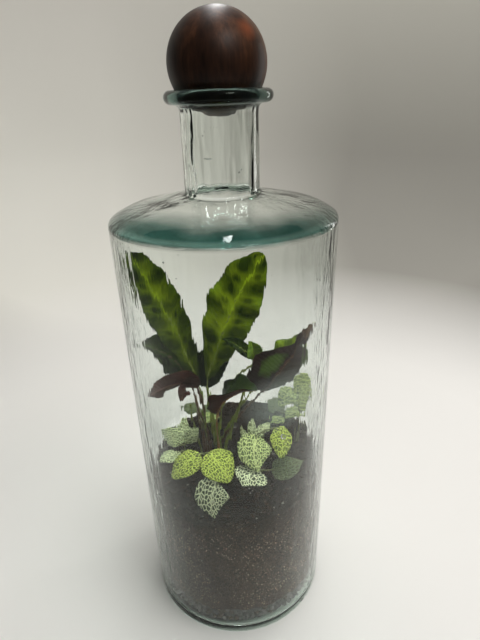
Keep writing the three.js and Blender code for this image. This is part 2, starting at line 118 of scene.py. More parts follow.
def line(start, end, steps):
    """Points strictly between two profile points."""
    return [tuple(Vector(start).lerp(Vector(end), i / steps)) for i in range(1, steps)]


def inner_radius(height):
    """Radius of the glass's inner face at a height of the straight body."""
    share = min(max((height - heel_radius) / (shoulder_height - heel_radius), 0), 1)
    return base_radius - glass_wall + (body_radius - base_radius) * share


def wall_middle(height):
    """Radius of the middle of the glass, in the body or in the neck."""
    return neck_radius - neck_wall / 2 if height > neck_foot else inner_radius(height) + glass_wall / 2


def point_at(turn, radius, height):
    return (radius * math.cos(turn), radius * math.sin(turn), height)


def clear_selection():
    """Leaves nothing selected, so that an operator acts only on what is added next."""
    if bpy.context.object and bpy.context.object.mode != "OBJECT":
        bpy.ops.object.mode_set(mode="OBJECT")
    bpy.ops.object.select_all(action="DESELECT")


def spin_profile(name, profile, sides):
    """Turns a (radius, height) profile into a body: the circle's points take the profile, and it is spun."""
    clear_selection()
    bpy.ops.mesh.primitive_circle_add(vertices=len(profile), radius=body_radius)
    piece = bpy.context.object
    piece.name = name
    for vertex, (radius, height) in zip(piece.data.vertices, profile):
        vertex.co = (radius, 0, height)
    ends = (0, len(profile) - 1)
    for vertex in piece.data.vertices:
        vertex.select = vertex.index in ends
    for edge in piece.data.edges:
        edge.select = set(edge.vertices) == set(ends)
    bpy.ops.object.mode_set(mode="EDIT")
    bpy.ops.mesh.select_mode(type="EDGE")
    bpy.ops.mesh.delete(type="EDGE_FACE")
    bpy.ops.mesh.select_all(action="SELECT")
    bpy.ops.mesh.spin(steps=sides, angle=2 * math.pi, center=(0, 0, 0), axis=(0, 0, 1))
    bpy.ops.mesh.select_all(action="SELECT")
    bpy.ops.mesh.remove_doubles(threshold=0.00001)
    bpy.ops.mesh.normals_make_consistent(inside=False)
    bpy.ops.object.mode_set(mode="OBJECT")
    bpy.ops.object.shade_smooth()
    return piece


def finish_piece(piece, node):
    """Hands a finished piece to the frame: it stands for a node, whose own part is hidden, and is attached to the root
    body.
    """
    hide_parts(node)
    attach(piece, "root")


class Finish:
    """A material in the making. Its methods add the steps that work out its look at each place of the object."""

    def __init__(self, name):
        self.material = bpy.data.materials.new(name)
        self.material.use_nodes = True
        self.tree = self.material.node_tree
        self.shader = self.tree.nodes["Principled BSDF"]
        self.output = self.tree.nodes["Material Output"]
        self.place = self.add("ShaderNodeTexCoord").outputs["Object"]
        self.x, self.y, self.z = self.add("ShaderNodeSeparateXYZ", {0: self.place}).outputs

    def feed(self, socket, value):
        """Links a socket to what was worked out, or sets it. A colour is given as three shares."""
        if isinstance(value, bpy.types.NodeSocket):
            self.tree.links.new(value, socket)
        elif socket.type == "RGBA":
            socket.default_value = (*value, 1)
        else:
            socket.default_value = value

    def add(self, kind, inputs=None, **settings):
        made = self.tree.nodes.new(kind)
        for key, value in settings.items():
            setattr(made, key, value)
        for key, value in (inputs or {}).items():
            self.feed(made.inputs[key], value)
        return made

    def compute(self, operation, first, second=0.0, third=0.0, clamp=False):
        inputs = {0: first, 1: second, 2: third}
        return self.add("ShaderNodeMath", inputs, operation=operation, use_clamp=clamp).outputs[0]

    def times(self, first, second, clamp=False):
        return self.compute("MULTIPLY", first, second, clamp=clamp)

    def scaled(self, value, factor, offset, clamp=False):
        return self.compute("MULTIPLY_ADD", value, factor, offset, clamp)

    def larger(self, first, second):
        return self.compute("MAXIMUM", first, second)

    def uneven(self, value, cloud, amount):
        """A value that a cloud moves up or down, by half the amount at most."""
        return self.scaled(cloud, amount, self.compute("SUBTRACT", value, amount / 2))

    def ramp(self, value, low, high, to_low=0.0, to_high=1.0):
        """A share that rises between two values and stays inside its limits."""
        limits = {"Value": value, "From Min": low, "From Max": high, "To Min": to_low, "To Max": to_high}
        return self.add("ShaderNodeMapRange", limits).outputs[0]

    def mix(self, share, first, second):
        return self.add("ShaderNodeMix", {0: share, 6: first, 7: second}, data_type="RGBA").outputs[2]

    def cloud(self, scale, detail=2.0, place=None, **more):
        """Soft random patches, as a share."""
        inputs = {"Vector": self.place if place is None else place, "Scale": scale, "Detail": detail, **more}
        return self.add("ShaderNodeTexNoise", inputs).outputs["Fac"]

    def mapped(self, scale, place=None, **more):
        """The place, stretched or pressed along its axes."""
        inputs = {"Vector": self.place if place is None else place, "Scale": scale, **more}
        return self.add("ShaderNodeMapping", inputs).outputs[0]

    def distance(self, spot, place=None):
        inputs = {0: self.place if place is None else place, 1: spot}
        return self.add("ShaderNodeVectorMath", inputs, operation="DISTANCE").outputs["Value"]

    def surface(self, settings, height=None, strength=0.0, depth=0.0):
        """Sets the shader and, where a height is given, its relief."""
        for key, value in settings.items():
            self.feed(self.shader.inputs[key], value)
        if height is not None:
            relief = self.add("ShaderNodeBump", {"Height": height, "Strength": strength, "Distance": depth})
            self.feed(self.shader.inputs["Normal"], relief.outputs[0])

    def end_in(self, share, first, second):
        """Ends the material in a mix of two surfaces."""
        mixed = self.add("ShaderNodeMixShader", {0: share, 1: first, 2: second})
        self.feed(self.output.inputs["Surface"], mixed.outputs[0])


def bottle_profile():
    """The wall's section as (radius, height): up the outside from under the base, over the bead and down inside."""
    cone_angle = 90 - math.degrees(shoulder_slope)
    edge_angle = 90 - math.degrees(edge_slope)
    slope = math.tan(shoulder_slope)
    edge_centre = body_radius - edge_round
    dome_centre = edge_centre - (dome_radius - edge_round) * math.sin(edge_slope)
    dome_height = shoulder_height - (dome_radius - edge_round) * math.cos(edge_slope)
    cone_radius = dome_centre + dome_radius * math.sin(shoulder_slope)
    cone_height = dome_height + dome_radius * math.cos(shoulder_slope)
    fillet_centre = neck_radius + neck_fillet
    fillet_foot = fillet_centre - neck_fillet * math.sin(shoulder_slope)
    foot_height = cone_height + (cone_radius - fillet_foot) * slope
    fillet_height = foot_height + neck_fillet * math.cos(shoulder_slope)
    inner_neck = neck_radius - neck_wall
    inner_dome = dome_radius - shoulder_thickness
    inner_edge_centre = body_radius - glass_wall - inner_edge_round
    inner_edge_turn = math.acos((inner_edge_centre - dome_centre) / (inner_dome - inner_edge_round))
    inner_edge_height = dome_height + (inner_dome - inner_edge_round) * math.sin(inner_edge_turn)
    inner_edge_angle = math.degrees(inner_edge_turn)
    inner_cone_radius = dome_centre + inner_dome * math.sin(shoulder_slope)
    inner_cone_height = dome_height + inner_dome * math.cos(shoulder_slope)
    inner_neck_height = inner_cone_height + (inner_cone_radius - inner_neck) * slope
    inner_fillet = inner_neck + neck_fillet
    corner_height = base_thickness + inner_corner
    outline = [
        [(0, punt_height)],
        line((0, punt_height), (punt_radius, punt_height * 0.6), 6),
        arc(punt_radius, punt_height * 0.6 - punt_edge, punt_edge, 90, 60, 2),
        [(foot_inner_radius, 0), (base_radius - heel_radius, 0)],
        arc(base_radius - heel_radius, heel_radius, heel_radius, -70, 0, 7),
        line((base_radius, heel_radius), (body_radius, shoulder_height), body_rows),
        arc(edge_centre, shoulder_height, edge_round, 0, edge_angle, 9),
        arc(dome_centre, dome_height, dome_radius, edge_angle, cone_angle, 10)[1:],
        line((cone_radius, cone_height), (fillet_foot, foot_height), 12),
        arc(fillet_centre, fillet_height, neck_fillet, cone_angle - 180, -180, 6),
        line((neck_radius, fillet_height), (neck_radius, bead_height - flare_start), 14),
        [(neck_radius, bead_height - flare_start)],
        [(neck_radius + flare, bead_height - below) for flare, below in (flare_middle, flare_end)],
        arc(bead_radius, bead_height, bead_tube, -112, 200, 30),
        [(inner_neck + flare_end[0], bead_height - flare_end[1]), (inner_neck, bead_height - inner_flare_start)],
        line((inner_neck, bead_height - inner_flare_start), (inner_neck, inner_neck_height + neck_fillet), 14),
        arc(inner_fillet, inner_neck_height + neck_fillet - neck_fillet * slope, neck_fillet, 180, 270, 5),
        line((inner_fillet, inner_neck_height - neck_fillet * slope), (inner_cone_radius, inner_cone_height), 12),
        arc(dome_centre, dome_height, inner_dome, cone_angle, inner_edge_angle, 9),
        arc(inner_edge_centre, inner_edge_height, inner_edge_round, inner_edge_angle, 0, 7)[1:],
        line((body_radius - glass_wall, inner_edge_height), (inner_radius(0), corner_height), body_rows),
        arc(inner_radius(0) - inner_corner, corner_height, inner_corner, 0, -90, 5),
        line((inner_radius(0) - inner_corner, base_thickness), (0, base_thickness), 6),
        [(0, base_thickness)],
    ]
    return [point for part in outline for point in part]


def pebble_shape(subdivisions):
    """A unit ball of few faces, the start of a bubble, a stone or a crumb."""
    clear_selection()
    bpy.ops.mesh.primitive_ico_sphere_add(subdivisions=subdivisions, radius=1)
    return bpy.context.object


def join_pieces(main, others):
    """Joins other pieces into the main one and leaves it active."""
    clear_selection()
    for piece in others:
        piece.select_set(True)
    main.select_set(True)
    bpy.context.view_layer.objects.active = main
    bpy.ops.object.join()
    return main


def scatter(name, template, places, roughness=0.28):
    """Many copies of one small modelled shape, doubled until there are enough, then dented a little and laid in
    their places. Each place is (centre, turn, scale, finish)."""
    piece = template
    piece.name = name
    shape = [vertex.co.copy() for vertex in piece.data.vertices]
    bpy.ops.object.mode_set(mode="EDIT")
    copies = 1
    while copies < len(places):
        bpy.ops.mesh.select_all(action="SELECT")
        bpy.ops.mesh.duplicate()
        copies *= 2
    bpy.ops.mesh.select_all(action="DESELECT")
    bpy.ops.object.mode_set(mode="OBJECT")
    for vertex in piece.data.vertices[len(places) * len(shape):]:
        vertex.select = True
    bpy.ops.object.mode_set(mode="EDIT")
    bpy.ops.mesh.delete(type="VERT")
    bpy.ops.object.mode_set(mode="OBJECT")
    laid = []
    for centre, turn, scale, finish in places:
        dent = Vector(centre) * 900
        for point in shape:
            rough = 1 + roughness * noise.noise(point * 1.4 + dent)
            laid.extend(Vector(centre) + turn @ Vector(point[i] * scale[i] * rough for i in range(3)))
    piece.data.vertices.foreach_set("co", laid)
    finishes = list(dict.fromkeys(place[3] for place in places))
    for finish in finishes:
        piece.data.materials.append(finish)
    for face in piece.data.polygons:
        face.material_index = finishes.index(places[face.vertices[0] // len(shape)][3])
    bpy.ops.object.shade_smooth()
    return piece


def surface_ripple(turn, height, inside):
    """How far the glass waves in or out: upright waves, stronger on the inner face, at the sides and in the neck."""
    around = Vector((math.cos(turn), math.sin(turn), 0))

    def waves(count, run, *start):
        """Waves in about this number round the glass, each over this height."""
        return noise.noise(around * count + Vector((*start, height / run)))

    if height > neck_foot:
        depth = 0.75 * waves(3, 34 * mm, 1, 4) + 0.16 * waves(9, 16 * mm, 3, 0)
        return depth * mm * (1.3 if inside else 0.4)
    at_side = around.x**6
    depth = 0.14 * waves(7, 100 * mm, 0, 0) + 0.08 * waves(19, 70 * mm, 3, 0) + 0.05 * waves(9, 22 * mm, 7, 2)
    depth += 0.13 * (at_side * waves(8, 26 * mm, 2, 9))
    return depth * mm * ((1.5 if inside else 0.6) * (0.9 + 1.6 * at_side))


def inner_reach(turn, height, gap):
    """The radius of the rippled inner wall, less a gap."""
    return inner_radius(height) + surface_ripple(turn, height, True) - gap


bottle = spin_profile("bottle_glass", bottle_profile(), glass_sides)
reached = []
for vertex in bottle.data.vertices:
    x, y, z = vertex.co
    radius = math.hypot(x, y)
    on_shoulder = shoulder_foot < z < neck_foot and radius > neck_radius + neck_fillet
    shift = Vector((0, 0, 0))
    if on_shoulder:
        fine = noise.noise(Vector(part / wide for part, wide in zip(vertex.co, shoulder_streak)))
        shift = vertex.normal * (wave_depth * noise.noise(vertex.co / shoulder_wave) + streak_depth * fine)
    elif radius > smooth_radius and z > smooth_foot:
        shift = Vector((x, y, 0)).normalized() * surface_ripple(math.atan2(y, x), z, radius < wall_middle(z))
    reached.extend(vertex.co + shift)
bottle.data.vertices.foreach_set("co", reached)
bottle.data.update()

# The glass takes up a little light on its way through. Its blue-green sits in the bead and on top of the shoulder's
# corner, strongest towards the front. A lamp's light passes it unbent, so that the plants are lit.
glass = Finish("bottle_glass")
level = glass.add("ShaderNodeVectorMath", {0: glass.place, 1: (1, 1, 0)}, operation="MULTIPLY").outputs[0]
from_axis = glass.add("ShaderNodeVectorMath", {0: level}, operation="LENGTH").outputs["Value"]
from_axis = glass.uneven(from_axis, glass.cloud(26.0, 3.0), 0.03)
at_bead = glass.ramp(glass.z, 0.4165, 0.421, 0.0, 0.78)
at_corner = glass.times(glass.ramp(from_axis, 0.048, 0.071), glass.ramp(glass.z, 0.3465, 0.3485))
at_corner = glass.times(at_corner, glass.ramp(glass.y, -0.05, 0.03, 1.0, 0.35))
skin = glass.cloud(230.0, 2.0, glass.mapped((1, 1, 0.22)))
waviness = glass.ramp(glass.compute("ABSOLUTE", glass.x), 0.05, 0.079, 0.16, 0.7)
look = {"Base Color": glass.mix(glass.larger(at_bead, at_corner), clear_glass, deep_glass), "Roughness": 0.0}
look.update({"IOR": 1.5, "Specular Tint": (0.2, 0.21, 0.205), "Transmission Weight": 1.0})
glass.surface(look, skin, waviness, 0.0006)
lamp_path = glass.add("ShaderNodeLightPath").outputs["Is Shadow Ray"]
clear = glass.add("ShaderNodeBsdfTransparent", {"Color": (0.93, 0.97, 0.96)}).outputs[0]
glass.end_in(lamp_path, glass.shader.outputs[0], clear)
absorbing = glass.add("ShaderNodeVolumeAbsorption", {"Color": glass_absorption, "Density": glass_density})
glass.feed(glass.output.inputs["Volume"], absorbing.outputs[0])

# Seed bubbles, drawn out a little while the glass was soft. Their faces look into the bubble, away from the glass.
bubbles = [(-8.2, -24.3, 389, 2.8, 0.5), (12.1, -22.7, 380, 0.6, 0.6), (-35, -72, 338, 0.6, 0.6)]
draw = random.Random(5)
for i in range(seed_count):
    turn = draw.uniform(0, 2 * math.pi)
    height = draw.uniform(*(seed_heights if i % 4 else neck_seed_heights))
    size = draw.uniform(*seed_sizes)
    bubbles.append((math.cos(turn), math.sin(turn), height, size * draw.uniform(*seed_stretch), size))
places = []
for x, y, height, length, size in bubbles:
    turn = math.atan2(y, x)
    centre = point_at(turn, wall_middle(height * mm), height * mm)
    places.append((centre, Matrix.Rotation(turn, 3, "Z"), (size * mm, length * mm, size * mm), glass.material))
seeds = scatter("seed_bubbles", pebble_shape(2), places, 0.1)
bpy.ops.object.mode_set(mode="EDIT")
bpy.ops.mesh.select_all(action="SELECT")
bpy.ops.mesh.flip_normals()
bpy.ops.object.mode_set(mode="OBJECT")
bottle.data.materials.append(glass.material)
join_pieces(bottle, [seeds])
finish_piece(bottle, "bottle")


# Under the soil lies a drainage layer of washed grey gravel, poured in loose. Its stones show against the glass in
# a low band, packed by their own weight on a filled core that nobody sees.
gravel_level = 27 * mm
fill_gap = 0.3 * mm
core_inset = 4.5 * mm
core_cover = 1 * mm
stone_sizes = (2.2 * mm, 3.4 * mm)
stone_rows = 5
stone_row_step = 4.1 * mm
stone_gap = 0.4 * mm
stone_cover = 2 * mm
heel_room = 3 * mm
stones_around = 92


def lumps(x, y, size, height):
    """Low uneven lumps over the plan, as heights."""
    first = math.sin(x / size + 1.3) * math.cos(y / (size * 0.8) - 0.4)
    second = math.sin((x + y) / (size * 0.6) + 2.1) * 0.5
    return height * (first + second)


def gravel_top(x, y):
    return gravel_level + lumps(x, y, 7 * mm, 1.4 * mm)


def free_turn(draw):
    """A random rotation from a seeded draw."""
    return Euler([draw.uniform(0, 2 * math.pi) for _ in range(3)]).to_matrix()


def stone_material(name, colour, fleck):
    stone = Finish(name)
    grain = stone.cloud(900.0, 5.0)
    share = stone.scaled(grain, 0.6, stone.times(stone.cloud(150.0), 0.5), clamp=True)
    look = {"Base Color": stone.mix(share, colour, fleck), "Roughness": 0.7, "Specular IOR Level": 0.2}
    stone.surface(look, grain, 0.4, 0.0004)
    return stone.material


stone_finishes = [
    stone_material("grey_stone", (0.06, 0.058, 0.055), (0.16, 0.155, 0.15)),
    stone_material("pale_stone", (0.12, 0.118, 0.11), (0.27, 0.26, 0.25)),
    stone_material("brown_stone", (0.05, 0.038, 0.028), (0.14, 0.11, 0.085)),
]
core_radius = inner_radius(0) - core_inset
core_low, core_high = base_thickness + fill_gap, gravel_level - core_cover
core = [(0, core_low)] + line((0, core_low), (core_radius, core_low), 6)
core += line((core_radius, core_low), (core_radius, core_high), 4)
core += line((core_radius, core_high), (0, core_high), 6) + [(0, core_high)]
gravel_bed = spin_profile("gravel_bed", core, 64)
draw = random.Random(11)
stones = []
for row in range(stone_rows):
    for i in range(stones_around):
        size = draw.uniform(*stone_sizes)
        turn = 2 * math.pi * (i + 0.5 * (row % 2) + draw.uniform(-0.25, 0.25)) / stones_around
        low_edge = heel_room if row == 0 else 0
        room = size * 1.12 + stone_gap
        gap = room + low_edge + draw.uniform(0, 0.8) * mm
        radius = inner_reach(turn, base_thickness + size + row * stone_row_step, gap)
        height = base_thickness + room + row * stone_row_step + draw.uniform(-0.3, 0.3) * mm
        scale = [size * draw.uniform(0.85, 1.0) for _ in range(3)]
        centre = point_at(turn, radius, min(height, gravel_level - stone_cover))
        stones.append((centre, free_turn(draw), scale, stone_finishes[draw.choice((0, 0, 1, 2))]))
outer_stones = scatter("outer_stones", pebble_shape(2), stones)
gravel_bed.data.materials.append(stone_finishes[0])
join_pieces(gravel_bed, [outer_stones])
finish_piece(gravel_bed, "gravel")


# The potting mix is dark peat with bark crumbs, a little grit and white perlite, poured on the gravel and left
# higher at the back right. Its crumbs lie loose on top and press against the glass all round.
soil_level = 132 * mm
soil_slope_x = 0.09
soil_slope_y = 0.07
soil_sides = 224
side_rings = 54
top_rings = 46
soil_radius = inner_radius(soil_level) - fill_gap
crown_place = (-0.01, 0.01, 0.135)
crumb_count = 1500
wall_crumb_count = 1500
perlite_count = 140
grit_count = 1500
wall_dent = 2.4 * mm
top_swell = 1.6 * mm
top_grain = 1.0 * mm
# In millimetres
crumb_sizes = (0.7, 2.0)
perlite_sizes = (0.5, 1.2)
wall_crumb_sizes = (0.5, 1.7)
grit_sizes = (0.2, 0.5)


def soil_top(x, y):
    return soil_level + soil_slope_x * x + soil_slope_y * y + lumps(x, y, 11 * mm, 1.5 * mm)


def soil_material(name, dark, light, grain_scale, roughness, specks=0.0, top_shade=0.85):
    """Crumbly matter, with or without pale specks. Painted shade darkens it on top and round the plant's crown, and it
    is also darker high up.
    """
    soil = Finish(name)
    grain = soil.cloud(grain_scale, 6.0, Roughness=0.7)
    share = soil.scaled(soil.cloud(70.0), 0.25, soil.compute("SUBTRACT", grain, 0.12))
    tint = soil.mix(soil.ramp(share, 0.36, 0.66), dark, light)
    dot_colour = soil.mix(soil.ramp(soil.cloud(300.0), 0.4, 0.6), (0.64, 0.36, 0.27), (0.82, 0.69, 0.51))
    specks = soil.times(soil.ramp(soil.cloud(38.0, 1.0), 0.42, 0.56, 0.2, 1.0), specks)
    specks = soil.times(soil.ramp(soil.z, 0.095, 0.125, 1.0, 0.25), specks)
    specks = soil.times(soil.ramp(soil.cloud(850.0, 1.0), 0.64, 0.69), specks)
    facing = soil.add("ShaderNodeNewGeometry").outputs["Normal"]
    upward = soil.add("ShaderNodeSeparateXYZ", {0: facing}).outputs[2]
    # Painted shade on upward faces and round the crown, as if under the leaves; the soil also darkens with height.
    on_top = soil.ramp(upward, 0.35, 0.85, 0.0, top_shade)
    crown_shade = soil.ramp(soil.distance(crown_place), 0.022, 0.05, 0.8, 0.0)
    high_up = soil.ramp(soil.z, 0.085, 0.13, 0.0, 0.45)
    for darkening in (on_top, crown_shade, high_up):
        tint = soil.mix(darkening, tint, tuple(c * 0.4 for c in dark))
    look = {"Base Color": soil.mix(specks, tint, dot_colour), "Roughness": roughness, "Specular IOR Level": 0.12}
    soil.surface(look, grain, 0.8, 0.0012)
    return soil.material


soil_finishes = [
    soil_material("peat", (0.021, 0.013, 0.009), (0.1, 0.064, 0.044), 420.0, 0.9, 1.0),
    soil_material("bark", (0.045, 0.024, 0.015), (0.17, 0.1, 0.065), 600.0, 0.8),
    soil_material("perlite", (0.28, 0.26, 0.22), (0.6, 0.57, 0.5), 900.0, 0.85, 0.0, 0.4),
    soil_material("grit", (0.34, 0.22, 0.14), (0.7, 0.54, 0.37), 900.0, 0.5, 0.0, 0.55),
]

soil_profile = [(0, 0)] + line((0, 0), (soil_radius, 0), 8)
soil_profile += [(soil_radius, i / side_rings) for i in range(side_rings)]
soil_profile += [(soil_radius * (1 - i / top_rings), 1) for i in range(top_rings + 1)]
soil = spin_profile("potting_soil", soil_profile, soil_sides)
for vertex in soil.data.vertices:
    x, y, share = vertex.co
    low = gravel_top(x, y) + fill_gap
    radius = math.hypot(x, y)
    flat_out = Vector((x, y, 0)) / max(radius, mm)
    height = low + (soil_top(x, y) - low) * share
    place = Vector((x, y, height))
    if radius > soil_radius - 0.1 * mm:
        limit = inner_reach(math.atan2(y, x), height, fill_gap)
        dent = 0.5 * abs(noise.noise(place * 260)) + 0.5 * abs(noise.noise(place * 110))
        place = flat_out * (limit - wall_dent * dent) + Vector((0, 0, height))
    if share > 0.99:
        place.z += top_swell * noise.noise(place * 120) + top_grain * noise.noise(place * 300)
    vertex.co = place

draw = random.Random(23)
crumbs, chips = [], []
for i in range(crumb_count + perlite_count):
    radius = (soil_radius - 3 * mm) * math.sqrt(draw.random())
    x, y, _ = point_at(draw.uniform(0, 2 * math.pi), radius, 0)
    size = draw.uniform(*crumb_sizes) * mm
    pale = i >= crumb_count
    if pale:
        size = draw.uniform(*perlite_sizes) * mm
    centre = (x, y, soil_top(x, y) + draw.uniform(-0.2, 0.9) * size)
    scale = [size * draw.uniform(0.6, 1.1) for _ in range(3)]
    crumbs.append((centre, free_turn(draw), scale, soil_finishes[2 if pale else draw.choice((0, 0, 1))]))
for i in range(wall_crumb_count + grit_count):
    turn = draw.uniform(0, 2 * math.pi)
    size = draw.uniform(*wall_crumb_sizes) * mm
    slot = draw.choice((0, 0, 1))
    if i >= wall_crumb_count:
        size = draw.uniform(*grit_sizes) * mm
        slot = draw.choice((2, 3, 3, 1))
    x, y, _ = point_at(turn, soil_radius, 0)
    low = gravel_top(x, y) + 2 * mm
    height = low + (soil_top(x, y) - low) * draw.random()
    radius = inner_reach(turn, height, 0.35 * mm + size * draw.uniform(0.9, 1.0))
    scale = [size * draw.uniform(0.6, 1.0) for _ in range(3)]
    chips.append((point_at(turn, radius, height), free_turn(draw), scale, soil_finishes[slot]))
loose = scatter("loose_crumbs", pebble_shape(1), crumbs + chips)
soil.data.materials.append(soil_finishes[0])
join_pieces(soil, [loose])
finish_piece(soil, "soil")


# The tall plant is a rattlesnake plant: long strap leaves with waved margins, each on its own thin stalk from one
# crown. Above, a leaf is lime green with dark ovals that alternate along the midrib; below, it is maroon.
leaf_thickness = 0.4 * mm
root_depth = 12 * mm
collar_rise = 4 * mm
stalk_radius = 1.3 * mm
stalk_tip_radius = 0.85 * mm
blade_rows, blade_columns = 64, 16
along_rib = (0, 0.08, 0.3, 0.55, 0.8, 0.97)
plant_gloss = 0.12


def rounded_sine(u, lean, fullness):
    return max(math.sin(math.pi * u**lean), 0) ** fullness


def strap_shape(u):
    return 0.02 + 0.98 * rounded_sine(u, 1.32, 0.6)


def lance_shape(u):
    return 0.02 + 0.98 * rounded_sine(u, 0.9, 0.75)


def oval_shape(u):
    """An oval, widest near its base, with a short tip."""
    return 0.03 + 0.97 * rounded_sine(u, 0.76, 0.5 + 0.12 * u * u)


def heart_shape(u):
    """A leaf that is broad near its base and runs to a point."""
    return 0.03 + 0.97 * rounded_sine(u, 0.7, 0.48 + 0.6 * u * u)


def beaked_shape(u):
    """An oval body that ends in a long rolled beak."""
    body = rounded_sine(u / 0.74, 0.85, 0.5) if u < 0.72 else 0
    beak = 0.44 * math.sqrt(max(1 - u, 0.004))
    return max(body, 0.05 if u < 0.3 else min(beak, 0.24))


class Midrib:
    """A curve that passes through its bend half-way from base to tip."""

    def __init__(self, base, bend, tip):
        self.base, bend, self.tip = (Vector(place) * mm for place in (base, bend, tip))
        self.control = bend * 2 - self.base * 0.5 - self.tip * 0.5

    def point(self, u):
        return self.base * (1 - u) ** 2 + self.control * (2 * u * (1 - u)) + self.tip * u**2

    def direction(self, u):
        return ((self.control - self.base) * (1 - u) + (self.tip - self.control) * u).normalized()

    def length(self):
        steps = [self.point(i / 20) for i in range(21)]
        return sum((b - a).length for a, b in zip(steps, steps[1:]))


def blade_point(leaf, u, v):
    """A point of a blade: u runs along the midrib, v from margin to margin."""
    rib = leaf["rib"]
    along = rib.direction(u)
    face = Vector(leaf["face"]).normalized()
    face.rotate(Matrix.Rotation(leaf.get("turn", 0) * (u - 0.5), 3, along))
    across = along.cross(face).normalized()
    up = across.cross(along).normalized()
    shape = leaf["shape"](u)
    ripple = math.sin(2 * math.pi * leaf["waves"] * u + leaf.get("phase", 0) + (0 if v > 0 else 2))
    half = leaf["width"] * mm / 2 * shape * (1 + leaf["frill"] * abs(v) * ripple)
    lift = half * (leaf.get("fold", 0) * abs(v) - leaf.get("dome", 0) * v * v)
    lift += leaf["wave"] * mm * v * v * ripple * shape
    veins = math.sin(2 * math.pi * leaf["pairs"] * (u - 0.1 * abs(v)))
    lift += leaf["quilt"] * mm * veins * (1 - abs(v)) * shape
    crinkle = noise.noise(Vector((u * 14, v * 1.5, leaf["width"])))
    lift += 10 * leaf["frill"] * mm * crinkle * v * v * shape
    return rib.point(u) + across * (half * v) + up * lift


def blade(name, leaf, rows, columns, thickness, finishes):
    """A leaf blade: a flat grid laid along its midrib and thickened. Its upper side takes the first finish and its
    underside the second."""
    clear_selection()
    bpy.ops.mesh.primitive_grid_add(x_subdivisions=columns, y_subdivisions=rows, size=2)
    piece = bpy.context.object
    piece.name = name
    mesh = piece.data
    flat = [(vertex.co.x, (1 - math.cos(math.pi * (vertex.co.y + 1) / 2)) / 2) for vertex in mesh.vertices]
    length = leaf["rib"].length()
    pattern = mesh.uv_layers.active
    pattern.name = "blade"
    measured = mesh.uv_layers.new(name="measured")
    for loop in mesh.loops:
        v, u = flat[loop.vertex_index]
        pattern.data[loop.index].uv = (v, u)
        half = leaf["width"] / 20 * leaf["shape"](u)
        measured.data[loop.index].uv = (half * v, length * 100 * u)
    for vertex, (v, u) in zip(mesh.vertices, flat):
        vertex.co = blade_point(leaf, u, v)
    for finish in finishes:
        mesh.materials.append(finish)
    wall = piece.modifiers.new("thickness", "SOLIDIFY")
    wall.thickness = thickness
    wall.offset = -1
    wall.material_offset = 1
    bpy.ops.object.modifier_apply(modifier=wall.name)
    bpy.ops.object.shade_smooth()
    return piece


def stem(name, places, radii):
    """A round stem through these places, with a radius at each."""
    clear_selection()
    line_data = bpy.data.curves.new(name, "CURVE")
    line_data.dimensions = "3D"
    line_data.resolution_u = 5
    line_data.bevel_depth = 1
    line_data.bevel_resolution = 2
    line_data.use_fill_caps = True
    path = line_data.splines.new("BEZIER")
    path.bezier_points.add(len(places) - 1)
    for point, place, radius in zip(path.bezier_points, places, radii):
        point.co = place
        point.radius = radius
        point.handle_left_type = point.handle_right_type = "AUTO"
    made = bpy.data.objects.new(name, line_data)
    bpy.context.scene.collection.objects.link(made)
    bpy.context.view_layer.objects.active = made
    made.select_set(True)
    bpy.ops.object.convert(target="MESH")
    return made


def blade_axes(leaf):
    """The share along a blade, the share across it and its side, slightly disturbed as living tissue is."""
    spot = leaf.add("ShaderNodeUVMap", uv_map="blade").outputs[0]
    across, along, _ = leaf.add("ShaderNodeSeparateXYZ", {0: spot}).outputs
    side = leaf.compute("GREATER_THAN", across, 0.0)
    return leaf.uneven(along, leaf.cloud(90.0), 0.03), leaf.compute("ABSOLUTE", across), side


def oval_distance(leaf, *axes):
    """How far a place lies from an oval's centre, 1 at its rim. Each axis is (value, centre, half its length)."""
    squares = []
    for value, centre, half in axes:
        off = leaf.compute("DIVIDE", leaf.compute("SUBTRACT", value, centre), half)
        squares.append(leaf.compute("POWER", leaf.compute("ABSOLUTE", off), 2.0))
    return leaf.compute("SQRT", leaf.compute("ADD", *squares))


def oval_mask(leaf, pace, across, shift, centre, length, breadth, soft):
    """Soft ovals that repeat along the blade: 1 inside an oval and 0 outside."""
    phase = leaf.compute("FRACT", leaf.compute("ADD", pace, shift))
    far = oval_distance(leaf, (phase, 0.5, length), (across, centre, breadth))
    return leaf.ramp(far, 1 - soft, 1 + soft, 1.0, 0.0)


def tinted(colour, factor):
    return tuple(min(part * factor, 1) for part in colour)


def leaf_surface(leaf, colour, height, roughness, glow):
    """Satin leaf surface that lets some light through."""
    look = {"Base Color": colour, "Roughness": roughness, "Specular IOR Level": plant_gloss}
    leaf.surface(look, height, 0.5, 0.0008)
    through = leaf.add("ShaderNodeBsdfTranslucent", {"Color": colour}).outputs[0]
    leaf.end_in(glow, leaf.shader.outputs[0], through)
    return leaf.material


